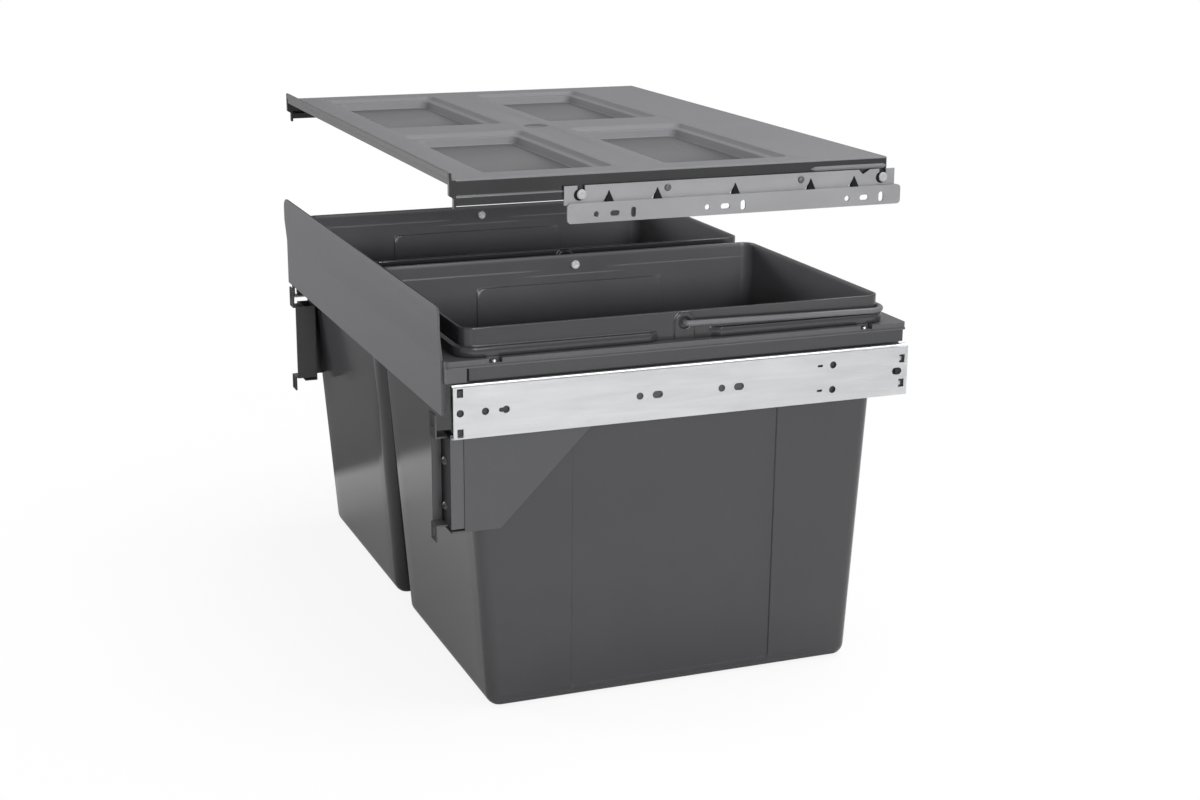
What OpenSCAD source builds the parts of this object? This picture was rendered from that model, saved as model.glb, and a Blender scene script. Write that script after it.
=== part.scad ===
// Pull-out waste bin unit: two bins in a frame on full-extension ball slides, with a front panel,
// door brackets and a cover lid on its own pair of side brackets.
// X runs across the cabinet, Y runs to the back of it and Z is up. The bins' bases lie at Z = 0.

/* [Cabinet] */
// Inside width of the cabinet between its two sides
cabinet_w = 564; // [520:1:620]
// Length of the slides
slide_l = 400; // [380:1:450]
// From the back of the door to the front end of the slides
door_set = 8; // [7:0.5:12]
// How far the drawer pulls out
drawer_travel = 390; // [340:1:395]

/* [Bins] */
// Height of a bin
bin_h = 326; // [300:1:360]
// Gap between the collars of the two bins
bin_spacing = 24; // [22:0.5:32]
// Clearance between a bin's collar and the drawer's side rail
bin_rail_gap = 0.8; // [0.7:0.1:3]
// From the back of the door to a bin's collar
bin_front_gap = 20; // [19:0.5:26]
// From the rear end of the slides to a bin's collar
bin_rear_gap = 19.5; // [18:0.5:26]
// Wall of a bin
bin_wall = 2.2; // [1.8:0.1:3]
// How far the long walls lean in at the base
bin_side_draft = 6; // [5:0.5:12]
// How far the front wall leans in at the base
bin_front_draft = 22; // [18:0.5:28]
// How far the rear wall leans in at the base
bin_rear_draft = 15; // [8:0.5:22]
// Radius of the upright corners
bin_corner_r = 12; // [11:0.5:18]
// Radius of the edge round the base
bin_foot_r = 11; // [7:0.5:14]
// Height of the collar above the flange
collar_h = 15; // [13:0.5:20]
// How far the flange stands out from the collar
flange_out = 4.8; // [4:0.1:5.5]
// Height of the flange
flange_h = 8; // [6:0.5:10]
// Depth of the stepped panel in the long walls
panel_step = 1.2; // [0.8:0.1:1.8]
// Length of the stepped panel
panel_l = 182; // [150:1:210]

/* [Bails] */
// Radius of the carrying handle's wire
bail_r = 2.5; // [2:0.1:3]
// Height of the pivot above the flange
pivot_rise = 5.5; // [5:0.1:6]
// Radius of the raised arch round the pivot
arch_r = 8.8; // [7.5:0.1:9]
// How far the arch stands out of the collar
arch_out = 1.2; // [0.8:0.1:1.4]
// Running clearance of the pivot
pivot_gap = 0.08; // [0.05:0.01:0.1]

/* [Top frame] */
// Height of the frame's visible edge
frame_t = 6; // [5:0.5:8]
// From the cabinet's side to the frame's edge
frame_side_gap = 5; // [4:0.2:6]
// From the back of the door to the frame's front face
frame_front_gap = 4; // [3.5:0.1:5]
// From the frame's top down to the slide's top edge
slide_drop = 18; // [17:0.5:24]
// Clearance between a bin's wall and the frame's opening
opening_gap = 1.1; // [0.8:0.1:1.4]
// Thickness of the frame's front wall
front_wall_t = 2.5; // [2:0.1:3]
// Depth of the frame's front wall below its edge
front_wall_h = 35; // [30:1:40]

/* [Slides] */
// Height of the slide
slide_h = 45; // [44:0.5:48]
// Width of the slide from the cabinet side to the drawer rail
slide_w = 12.7; // [12.5:0.1:13.2]
// Sheet thickness of the slide members
slide_t = 1.2; // [1:0.05:1.3]
// Radius of the balls
ball_r = 2.4; // [2.2:0.05:2.45]
// Clearance between a ball and its track
ball_gap = 0.1; // [0.08:0.01:0.15]
// Radius of the round fixing holes
fix_r = 3; // [2.6:0.1:3.3]
// Front end to the first fixing hole
fix_front = 26; // [20:0.5:30]
// Front end to the middle fixing hole
fix_mid = 156; // [130:0.5:180]
// Front end to the rear fixing hole
fix_rear = 228; // [215:0.5:260]
// Fixing hole to the slot behind it
slot_step = 15.5; // [14:0.5:18]
// Length of the slots
slot_l = 9; // [7:0.5:10]

/* [Steelwork] */
// Sheet thickness of the rails, gussets and brackets
steel_t = 1.5; // [1.2:0.1:1.5]
// From the slide's bottom edge down to the gusset's bottom edge
gusset_drop = 80; // [70:1:95]
// Length of the gusset's bottom edge
gusset_foot_l = 30; // [24:1:40]
// Width of the door bracket
door_bracket_w = 27; // [24:0.5:30]
// Width of the slotted tabs that the door is screwed to
door_tab_w = 15; // [12:0.5:18]
// Height of the slotted tabs
door_tab_h = 18; // [16:0.5:19]
// Radius of the slots in the tabs
door_slot_r = 2.2; // [2:0.1:2.6]
// Length of the slots in the tabs
door_slot_l = 9; // [7:0.5:11]

/* [Front panel] */
// Thickness of the front panel
panel_t = 2; // [1.5:0.1:2]
// Height of the front panel
panel_h = 87; // [80:1:96]
// From the cabinet's side to the end of the panel
panel_end_gap = 13; // [10:0.5:18]
// How far the panel stands above the frame
panel_rise = 42; // [38:0.5:48]
// How far the upper part leans to the front
panel_lean = 2; // [1:0.1:2]

/* [Lid] */
// Height that the lid is shown above its working place
lid_raise = 92; // [60:1:110]
// From the bins' rims up to the lid's top at its working place
lid_over = 26; // [24:0.5:32]
// Wall of the lid
lid_t = 2.5; // [2:0.1:3]
// Height of the lid's side skirts
skirt_h = 20; // [18:0.5:21]
// From the cabinet's side to the lid's skirt
lid_side_gap = 4.2; // [4.1:0.05:4.6]
// From the back of the door to the lid's plate
lid_front_gap = 14; // [12:0.5:18]
// From the rear end of the slides to the lid's plate
lid_rear_gap = 24.5; // [20:0.5:26]
// Depth of the recesses in the lid
recess_h = 10; // [6:0.5:12]
// Width of the recess border's step
recess_step = 9; // [6:0.5:12]
// Height of the lid's front strip at its ends
strip_h = 28; // [24:0.5:28]
// Height of the strip between its ends
strip_face_h = 9.6; // [8:0.1:11.5]
// How far the strip stands above the lid
strip_rise = 5.3; // [4:0.1:8]

/* [Lid brackets] */
// Height of the plate that is screwed to the cabinet
bracket_plate_h = 15.8; // [14:0.1:18]
// Height of the inner plate
bracket_upper_h = 13.3; // [12:0.1:14]
// Thickness of the bracket
bracket_t = 1.6; // [1.4:0.05:1.8]
// Front end of the slides to the plate's front end
bracket_front = 94; // [84:1:104]
// Rear end of the slides to the plate's rear end
bracket_rear = 14.5; // [12:0.5:20]
// Radius of the lid's pins
pin_r = 2.8; // [2.4:0.1:3]
// Radius of the pins' heads
pin_head_r = 4; // [3.6:0.1:4.4]
// From the lid's top down to the pins
pin_drop = 16; // [14.5:0.1:16.5]
// From the plate's rear end to the rear pin
pin_rear = 16; // [15:0.5:18]

/* [Hidden] */

$fn = 48;
// A cut runs past the surface by this much
over = 2;
// Thickness of the thin discs that a rounded block is spanned over
disc_t = 0.01;
// Clearance between pieces that only lie side by side
fit = 0.2;

// Planes of the whole unit, front to back
unit_l = door_set + slide_l;
door_y = -unit_l / 2;
slide_front = door_y + door_set;
slide_rear = unit_l / 2;
side_x = cabinet_w / 2;

// Heights of the whole unit
flange_z = bin_h - collar_h - flange_h;
frame_top = flange_z;
frame_under = frame_top - frame_t;
slide_top = frame_top - slide_drop;
slide_mid = slide_top - slide_h / 2;
slide_foot = slide_top - slide_h;

// Bins
bin_w = side_x - slide_w - steel_t - bin_rail_gap - bin_spacing / 2;
bin_x = bin_spacing / 2 + bin_w / 2;
bin_front = door_y + bin_front_gap;
bin_rear = slide_rear - bin_rear_gap;
bin_d = bin_rear - bin_front;
bin_y = (bin_front + bin_rear) / 2;
base_w = bin_w - 2 * bin_side_draft;
base_front = bin_front + bin_front_draft;
base_rear = bin_rear - bin_rear_draft;
draft_angle = atan(bin_side_draft / flange_z);
flange_top = flange_z + flange_h;
pivot_back = 4;
pivot_y = bin_y + pivot_back;
pivot_z = flange_top + pivot_rise;
flange_cut_l = 46;
flange_end_l = 8.5;
panel_top_gap = 7;
panel_foot_gap = 8;
panel_r = 6;
foot_steps = 3;

// Bails
bend_more = 0.5;
bail_bend_r = bail_r + bend_more;
arm_x = bin_w / 2 + arch_out + bail_bend_r;
arm_l = bin_rear + arch_out + bail_r - pivot_y;
bail_corner_r = bin_corner_r + arch_out + bail_r;
bail_rest_gap = 0.1;
bail_rest_z = flange_top + bail_r + bail_rest_gap;
bail_tilt = asin((pivot_z - bail_rest_z) / arm_l);
cap_r = 4;
cap_l = 4;
cap_grip = 3;
cap_gap = 0.1;

// Slide section, measured from the cabinet side (u) and from the slide's mid height (v)
track_r = ball_r + ball_gap;
shell_r = track_r + slide_t;
lip_v = ball_r / 3;
cage_t = 0.4;
cage_web_gap = 0.25;
outer_ball_u = slide_t + 2 * cage_web_gap + cage_t + shell_r;
outer_ball_v = slide_h / 2 - shell_r;
middle_web_u = outer_ball_u - shell_r;
inner_ball_u = middle_web_u + slide_t + 2 * cage_web_gap + cage_t + lip_half();
inner_ball_v = outer_ball_v - shell_r - track_r;
cage_reach_share = 1.35;
cage_reach = ball_r * cage_reach_share;
ball_hole_gap = 0.05;
member_set = 4;
inner_set = 2;
middle_front = slide_front + member_set;
middle_rear = slide_rear - 3 * member_set;
inner_front = slide_front + inner_set;
inner_rear = slide_rear - inner_set;
ball_count = 6;
cage_l = 176;
outer_cage_y = (slide_front + middle_rear - drawer_travel / 2) / 2 + drawer_travel / 4;
inner_cage_y = (middle_front + inner_rear - drawer_travel * 3 / 2) / 2 + drawer_travel * 3 / 4;
keyhole_share = 0.6;
pair_hole_back = 70.5;
pair_slot_step = 12;
pair_share = 0.235;
pair_v = slide_h * pair_share;
end_slot_back = 10;
window_set = 5.5;
window_w = 5;
window_h = 7;
window_share = 0.36;
window_v = slide_h * window_share;
pair_slot_l = 5;
pair_slot_r = 1;
rivet_r = 2;
rivet_head_r = 3.2;
rivet_head_t = 0.9;
rivet_shares = [0.12, 0.5, 0.88];

// Side rails and cross bar
rail_x = side_x - slide_w;
rail_foot_set = 4;
rail_foot = slide_foot + rail_foot_set;
rail_flange_w = 7.7;
rail_lip_gap = 1.5;
rail_flange_set = 14.6;
rail_flange_front = slide_front + rail_flange_set;
cross_bar_set = 14;
cross_bar_h = 40;
cross_bar_flange = 9;

// Top frame
frame_x = side_x - frame_side_gap;
frame_front = door_y + frame_front_gap;
frame_rear = slide_rear - fit;
frame_l = frame_rear - frame_front;
frame_y = (frame_rear + frame_front) / 2;
frame_corner_r = 3;
frame_lip = 1.2;
wall_x = rail_x - steel_t - fit;
block_l = rail_flange_front - frame_front - fit;
notch_shares = [0.1, 0.907];
notch_l = 11;
notch_w = 7.5;
notch_h = 3.5;
screw_r = 1.5;
screw_head_r = 2.6;
screw_head_t = 2;
screw_l = 9;

// Front panel
panel_x = side_x - panel_end_gap;
panel_foot = frame_top + panel_rise - panel_h;
panel_lean_share = 0.5;
panel_corner_r = 8;
panel_screw_share = 0.42;
panel_screw_bite = 1.2;

// Gussets and door brackets
gusset_x = rail_x - steel_t;
gusset_foot = slide_foot - gusset_drop;
gusset_lap = 10;
gusset_top = slide_foot + gusset_lap;
gusset_set = 12.5;
gusset_front = slide_front + gusset_set;
gusset_flange_w = 28;
channel_side_set = 0.8;
bracket_out_x = gusset_x - channel_side_set;
bracket_in_x = bracket_out_x - door_bracket_w;
channel_set = 1.5;
channel_front = slide_front + channel_set;
channel_foot_gap = 3;
channel_foot = gusset_foot + channel_foot_gap;
channel_top_gap = 2;
channel_top = slide_foot - channel_top_gap;
inner_flange_reach = 6;
inner_flange_front = slide_front - inner_flange_reach;
tab_set = 2.5;
tab_x = bracket_in_x + tab_set;
tab_foot_h = 13;
door_screw_r = 2;
door_screw_head_r = 4;
door_screw_head_t = 2.6;
door_screw_shares = [0.22, 0.72];

// Lid
lid_x = side_x - lid_side_gap;
lid_top = bin_h + lid_over + lid_raise;
lid_front = door_y + lid_front_gap;
lid_rear = slide_rear - lid_rear_gap;
lid_l = lid_rear - lid_front;
skirt_inset = 1;
skirt_ledge_share = 0.65;
rear_skirt_h = 12;
recess_in_share = 0.09;
recess_out_share = 0.9;
recess_front_shares = [0.079, 0.495];
recess_r = 6;
recess_l = 110;
recess_step_h = 3.5;
strip_t = 2;
strip_end_w = 4;
strip_set = 8.4;
strip_front = door_y + strip_set;
strip_band_share = 0.62;
strip_foot_share = 0.3;

// Lid brackets
bracket_y0 = slide_front + bracket_front;
bracket_l = slide_rear - bracket_rear - bracket_y0;
bracket_lid_gap = 0.5;
bracket_x = side_x - lid_side_gap + bracket_lid_gap;
step_z = lid_top - pin_drop - bracket_upper_h / 2;
plate_foot = step_z - bracket_plate_h;
bracket_corner_r = 3;
pin_set = 12;
pin_y = [bracket_y0 + pin_set, bracket_y0 + bracket_l - pin_rear];
pin_z = lid_top - pin_drop;
pin_slot_gap = 0.3;
pin_head_t = 1.4;
tab_reach = 14;
tab_back = 11;
upper_reach = 2;
rib_shares = [0.12, 0.26, 0.49, 0.72, 0.855];
rib_w = 1.6;
rib_h = 7.5;
rib_hole_w = 5;
stud_shares = [0.29, 0.69];
stud_r = 2.6;
stud_t = 1.2;
group_shares = [0.0816, 0.4048, 0.8316];
group_step = 15.6;
group_r = 2.2;
group_l = 8;
group_height_share = 0.42;

// Half width of a track's lip, where it ends beside the ball's centre
function lip_half() = sqrt(pow(shell_r, 2) - pow(lip_v, 2));
// Y of the bin's corner centres
function corner_y(front, rear, r) = [front + r, rear - r];

// A rectangle with round corners, centred on the origin
module rounded_rect(w, d, r) {
    square([w - 2 * r, d], center = true);
    square([w, d - 2 * r], center = true);
    for (x = [-1, 1], y = [-1, 1])
        translate([x * (w / 2 - r), y * (d / 2 - r)]) circle(r);
}

// A slot along X with round ends, centred on the origin
module slot_outline(l, r) {
    square([l - 2 * r, 2 * r], center = true);
    for (x = [-1, 1]) translate([x * (l / 2 - r), 0]) circle(r);
}

// A plate of rounded outline, from z up by h
module plate(w, d, r, y, z, h) {
    translate([0, y, z]) linear_extrude(h) rounded_rect(w, d, r);
}

// A box given by its low and high corners
module box(low, high) {
    translate(low) cube(high - low);
}

// A cutter along X for an outline drawn in Y (first) and Z (second)
module along_x(x, l) {
    translate([x, 0, 0]) rotate([90, 0, 90]) linear_extrude(l) children();
}

// A solid along Y for an outline drawn in X (first) and Z (second)
module along_y(y, l) {
    translate([0, y + l, 0]) rotate([90, 0, 0]) linear_extrude(l) children();
}

// The same thing on the left of the cabinet
module left() {
    mirror([1, 0, 0]) children();
}

// One half of a ball track's ring, above (side = 1) or below (side = -1) its lips
module track(u, v, side) {
    translate([u, v]) intersection() {
        difference() {
            circle(shell_r);
            circle(track_r);
        }
        translate([-shell_r, side > 0 ? lip_v : -shell_r]) square([2 * shell_r, shell_r - lip_v]);
    }
}

// Section of the outer member: a web on the cabinet side and two rolled tracks
module outer_section() {
    web_v = outer_ball_v + lip_v + slide_t;
    translate([0, -web_v]) square([slide_t, 2 * web_v]);
    for (s = [0, 1]) mirror([0, s]) {
        track(outer_ball_u, outer_ball_v, 1);
        difference() {
            translate([0, outer_ball_v + lip_v]) square([outer_ball_u - track_r + slide_t / 2, slide_t]);
            translate([outer_ball_u, outer_ball_v]) circle(track_r);
        }
    }
}

// Section of the middle member: a web and two tracks back to back on each edge
module middle_section() {
    web_v = outer_ball_v - lip_v;
    translate([middle_web_u, -web_v]) square([slide_t, 2 * web_v]);
    for (s = [0, 1]) mirror([0, s]) {
        track(outer_ball_u, outer_ball_v, -1);
        track(inner_ball_u, inner_ball_v, 1);
    }
}

// Section of the inner member: a web on the drawer side and two tracks
module inner_section() {
    web_v = inner_ball_v - lip_v;
    translate([slide_w - slide_t, -web_v]) square([slide_t, 2 * web_v]);
    for (s = [0, 1]) mirror([0, s]) {
        track(inner_ball_u, inner_ball_v, -1);
        difference() {
            translate([inner_ball_u + track_r - slide_t / 2, web_v - slide_t])
                square([slide_w - inner_ball_u - track_r + slide_t / 2, slide_t]);
            translate([inner_ball_u, inner_ball_v]) circle(track_r);
        }
    }
}

// A slide member: its section run along Y, on the right-hand cabinet side
module member(front, rear) {
    translate([side_x, 0, slide_mid]) mirror([1, 0, 0]) along_y(front, rear - front) children();
}

// A cutter through the outer member's web, drawn in Y and Z from the slide's mid height
module web_cut(back, v) {
    along_x(side_x - slide_t - over, slide_t + 2 * over)
        translate([slide_front + back, slide_mid + v]) children();
}

module slide_outer() {
    difference() {
        member(slide_front, slide_rear) outer_section();
        for (y = [fix_front, fix_mid, fix_rear]) web_cut(y, 0) circle(fix_r);
        for (y = [fix_mid, fix_rear]) web_cut(y + slot_step, 0) slot_outline(slot_l, fix_r);
        web_cut(fix_front + slot_step, 0) slot_outline(slot_l, keyhole_share * fix_r);
        web_cut(fix_front + slot_step + slot_l / 2 - fix_r, 0) circle(fix_r);
        for (v = [-pair_v, pair_v]) {
            web_cut(slide_l - pair_hole_back, v) circle(fix_r);
            web_cut(slide_l - pair_hole_back - pair_slot_step, v) slot_outline(pair_slot_l, pair_slot_r);
        }
        for (v = [-window_v, window_v])
            web_cut(window_set, v) square([window_w, window_h], center = true);
        for (v = [-pair_v, pair_v])
            web_cut(slide_l - window_set, v) square([window_w, window_h], center = true);
        web_cut(window_set, 0) circle(fix_r);
        web_cut(slide_l - end_slot_back, 0) slot_outline(slot_l, fix_r);
    }
}

module slide_middle() {
    member(middle_front, middle_rear) middle_section();
}

module slide_inner() {
    difference() {
        member(inner_front, inner_rear) inner_section();
        for (y = rivet_shares)
            along_x(rail_x - over, slide_t + 2 * over)
                translate([inner_front + y * (inner_rear - inner_front), slide_mid]) circle(rivet_r);
    }
}

// A cage with its two rows of balls. web_u is its web and u, v its upper row.
module ball_cage(y, web_u, u, v) {
    pitch = cage_l / ball_count;
    translate([side_x, 0, slide_mid]) mirror([1, 0, 0]) {
        difference() {
            along_y(y - cage_l / 2, cage_l) {
                translate([web_u, -v - cage_t / 2]) square([cage_t, 2 * v + cage_t]);
                for (s = [-1, 1])
                    translate([web_u, s * v - cage_t / 2]) square([u + cage_reach - web_u, cage_t]);
            }
            for (i = [0 : ball_count - 1], s = [-1, 1])
                translate([u, y + (i - (ball_count - 1) / 2) * pitch, s * v - cage_t])
                    cylinder(h = 2 * cage_t, r = ball_r + ball_hole_gap);
        }
        for (i = [0 : ball_count - 1], s = [-1, 1])
            translate([u, y + (i - (ball_count - 1) / 2) * pitch, s * v]) sphere(ball_r);
    }
}

module outer_ball_cage() {
    ball_cage(outer_cage_y, slide_t + cage_web_gap, outer_ball_u, outer_ball_v);
}

module inner_ball_cage() {
    ball_cage(inner_cage_y, middle_web_u + slide_t + cage_web_gap, inner_ball_u, inner_ball_v);
}

// Side rail: an upright web on the slide, and a flange that carries the top frame and turns down
module side_rail() {
    difference() {
        union() {
            box([rail_x - steel_t, inner_front, rail_foot], [rail_x, inner_rear, frame_under]);
            box([rail_x - steel_t, rail_flange_front, frame_under - steel_t],
                [rail_x + rail_flange_w - steel_t, inner_rear, frame_under]);
            box([rail_x + rail_flange_w - 2 * steel_t, rail_flange_front, slide_top + rail_lip_gap],
                [rail_x + rail_flange_w - steel_t, inner_rear, frame_under]);
        }
        for (y = rivet_shares)
            along_x(rail_x - steel_t - over, steel_t + 2 * over)
                translate([inner_front + y * (inner_rear - inner_front), slide_mid]) circle(rivet_r);
        for (y = notch_shares)
            translate([screw_x(), screw_y(y), frame_under - steel_t - over])
                cylinder(h = steel_t + 2 * over, r = screw_r);
    }
}

// Place of a frame screw, in the middle of its notch
function screw_x() = frame_x - notch_w + screw_head_r + fit;
function screw_y(share) = frame_front + share * frame_l;

module slide_rivets() {
    color("gainsboro")
    for (side = [0, 1], y = rivet_shares)
        mirror([side, 0, 0])
            translate([0, inner_front + y * (inner_rear - inner_front), slide_mid])
                rotate([0, 90, 0]) {
                    translate([0, 0, rail_x - steel_t]) cylinder(h = steel_t + slide_t, r = rivet_r);
                    translate([0, 0, rail_x + slide_t]) cylinder(h = rivet_head_t, r = rivet_head_r);
                    translate([0, 0, rail_x - steel_t - rivet_head_t])
                        cylinder(h = rivet_head_t, r = rivet_head_r);
                }
}

module rear_cross_bar() {
    bar_y = slide_rear - cross_bar_set;
    half = rail_x - steel_t;
    color("dimgray") {
        box([-half, bar_y, frame_under - cross_bar_h], [half, bar_y + steel_t, frame_under]);
        box([-half, bar_y, frame_under - steel_t], [half, bar_y + cross_bar_flange, frame_under]);
    }
}

// The opening that one bin hangs in, drawn from above
module frame_opening() {
    translate([0, bin_y])
        rounded_rect(bin_w + 2 * opening_gap, bin_d + 2 * opening_gap, bin_corner_r + opening_gap);
}

module top_frame() {
    color([0.36, 0.36, 0.37])
    difference() {
        union() {
            plate(2 * frame_x, frame_l, frame_corner_r, frame_y, frame_under, frame_t);
            plate(2 * (frame_x + frame_lip), frame_l, frame_corner_r, frame_y, frame_under, frame_lip);
            box([-wall_x, frame_front, frame_under - front_wall_h],
                [wall_x, frame_front + front_wall_t, frame_under]);
            for (side = [0, 1]) mirror([side, 0, 0])
                box([rail_x + fit, frame_front, slide_top + 3 * fit],
                    [frame_x, frame_front + block_l, frame_under]);
        }
        for (side = [-1, 1])
            translate([side * bin_x, 0, frame_under - over]) linear_extrude(frame_t + 2 * over)
                frame_opening();
        for (side = [0, 1], y = notch_shares) mirror([side, 0, 0]) {
            box([frame_x - notch_w, screw_y(y) - notch_l / 2, frame_top - notch_h],
                [frame_x + over, screw_y(y) + notch_l / 2, frame_top + over]);
            translate([screw_x(), screw_y(y), frame_under - over])
                cylinder(h = frame_t + over, r = screw_r);
        }
        for (x = [-panel_screw_share, panel_screw_share])
            along_y(frame_front - over, front_wall_t + 2 * over)
                translate([x * 2 * panel_x, panel_screw_z()]) circle(screw_r);
    }
}

// Height of the panel's screws, in the middle of the frame's front wall
function panel_screw_z() = frame_under - front_wall_h / 2;

module frame_screws() {
    color("silver")
    for (side = [0, 1], y = notch_shares)
        mirror([side, 0, 0]) translate([screw_x(), screw_y(y), frame_top - notch_h]) {
            cylinder(h = screw_head_t, r = screw_head_r);
            translate([0, 0, -screw_l]) cylinder(h = screw_l, r = screw_r);
        }
}

module panel_screws() {
    color("silver")
    for (x = [-panel_screw_share, panel_screw_share])
        translate([x * 2 * panel_x, frame_front, panel_screw_z()]) rotate([-90, 0, 0]) {
            translate([0, 0, front_wall_t]) cylinder(h = screw_head_t, r = screw_head_r);
            translate([0, 0, -panel_screw_bite])
                cylinder(h = front_wall_t + panel_screw_bite, r = screw_r);
        }
}

// The panel's profile, from the side: upright below and leaning to the front above
module panel_profile() {
    bend_z = panel_foot + panel_h * panel_lean_share;
    top_z = panel_foot + panel_h;
    front = frame_front - panel_t;
    polygon([[frame_front, panel_foot], [frame_front, bend_z], [frame_front - panel_lean, top_z],
        [front - panel_lean, top_z], [front, bend_z], [front, panel_foot]]);
}

module front_panel() {
    color([0.42, 0.42, 0.43])
    difference() {
        intersection() {
            along_x(-panel_x, 2 * panel_x) panel_profile();
            along_y(door_y - over, frame_front_gap + 2 * over)
                translate([0, panel_foot + panel_h / 2 - panel_corner_r])
                    rounded_rect(2 * panel_x, panel_h + 2 * panel_corner_r, panel_corner_r);
        }
        for (x = [-panel_screw_share, panel_screw_share])
            along_y(frame_front - panel_screw_bite, panel_screw_bite + over)
                translate([x * 2 * panel_x, panel_screw_z()]) circle(screw_r);
    }
}

// Gusset: a plate below the rail with a 45 degree rear edge, a front flange and a foot
module gusset() {
    drop = gusset_top - gusset_foot;
    difference() {
        union() {
            along_x(gusset_x - steel_t, steel_t)
                polygon([[gusset_front, gusset_foot], [gusset_front + gusset_foot_l, gusset_foot],
                    [gusset_front + gusset_foot_l + drop, gusset_top], [gusset_front, gusset_top]]);
            box([gusset_x - gusset_flange_w, gusset_front, gusset_foot],
                [gusset_x, gusset_front + steel_t, gusset_top]);
            box([gusset_x - gusset_flange_w, channel_front, gusset_foot],
                [gusset_x, gusset_front + steel_t, gusset_foot + steel_t]);
        }
        for (s = door_screw_shares)
            along_y(gusset_front - over, steel_t + 2 * over)
                translate([door_screw_x(), door_screw_z(s)]) circle(door_screw_r);
    }
}

// Place of a door bracket's screw
function door_screw_x() = (bracket_in_x + bracket_out_x) / 2;
function door_screw_z(share) = channel_foot + share * (channel_top - channel_foot);

// Door bracket: a channel with a slotted tab above and below, in the plane of the door's back
module door_bracket() {
    difference() {
        union() {
            box([bracket_in_x, channel_front, channel_foot],
                [bracket_out_x, channel_front + steel_t, channel_top]);
            box([bracket_out_x - steel_t, channel_front, channel_foot],
                [bracket_out_x, gusset_front, channel_top]);
            box([bracket_in_x, inner_flange_front, channel_foot],
                [bracket_in_x + steel_t, gusset_front, channel_top]);
            for (z = [channel_foot, channel_top - steel_t])
                box([tab_x, door_y, z], [tab_x + door_tab_w, channel_front + steel_t, z + steel_t]);
            box([tab_x, door_y, channel_top - steel_t],
                [tab_x + door_tab_w, door_y + steel_t, channel_top + door_tab_h]);
            box([tab_x, door_y, channel_foot - tab_foot_h],
                [tab_x + door_tab_w, door_y + steel_t, channel_foot + steel_t]);
        }
        for (z = [door_slot_top(), door_slot_foot()])
            along_y(door_y - over, steel_t + 2 * over)
                translate([tab_x + door_tab_w / 2, z]) rotate(90) slot_outline(door_slot_l, door_slot_r);
        for (s = door_screw_shares)
            along_y(channel_front - over, steel_t + 2 * over)
                translate([door_screw_x(), door_screw_z(s)]) circle(door_screw_r);
    }
}

// Heights of the two door slots
function door_slot_top() = channel_top + door_tab_h - door_slot_l / 2 - door_slot_r;
function door_slot_foot() = channel_foot - tab_foot_h + door_slot_l / 2 + door_slot_r;

module door_bracket_screws() {
    color("dimgray")
    for (side = [0, 1], s = door_screw_shares)
        mirror([side, 0, 0]) translate([door_screw_x(), channel_front, door_screw_z(s)])
            rotate([-90, 0, 0]) {
                translate([0, 0, -door_screw_head_t]) cylinder(h = door_screw_head_t, r = door_screw_head_r);
                cylinder(h = gusset_front + 2 * steel_t - channel_front, r = door_screw_r);
            }
}

// A block that tapers to a rounded foot, with its walls set in by inset
module tapered_block(inset, top_z) {
    r_top = bin_corner_r - inset;
    foot_r = min(bin_foot_r, bin_corner_r - disc_t) - inset;
    top_y = corner_y(bin_front + inset, bin_rear - inset, r_top);
    foot_y = corner_y(base_front + inset, base_rear - inset, r_top);
    hull() {
        for (x = [-1, 1], j = [0, 1]) {
            for (k = [0 : foot_steps])
                translate([x * (base_w / 2 - inset - r_top), foot_y[j],
                    inset + foot_r * (1 - cos(90 * k / foot_steps))])
                    cylinder(h = disc_t, r = r_top - foot_r + foot_r * sin(90 * k / foot_steps), $fn = 32);
            translate([x * (bin_w / 2 - inset - r_top), top_y[j], frame_under])
                cylinder(h = top_z - frame_under, r = r_top, $fn = 32);
        }
    }
}

// The stepped panel in a long wall, lying along the wall's lean and reaching in from it by depth
module wall_panel(set, depth) {
    reach = flange_z - panel_top_gap - panel_foot_gap;
    for (side = [0, 1]) mirror([side, 0, 0])
        translate([bin_w / 2 - set, bin_y, flange_z]) rotate([0, draft_angle, 0])
            translate([-depth, 0, -panel_top_gap - reach / 2]) rotate([90, 0, 90])
                linear_extrude(depth + over) rounded_rect(panel_l, reach, panel_r);
}

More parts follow.
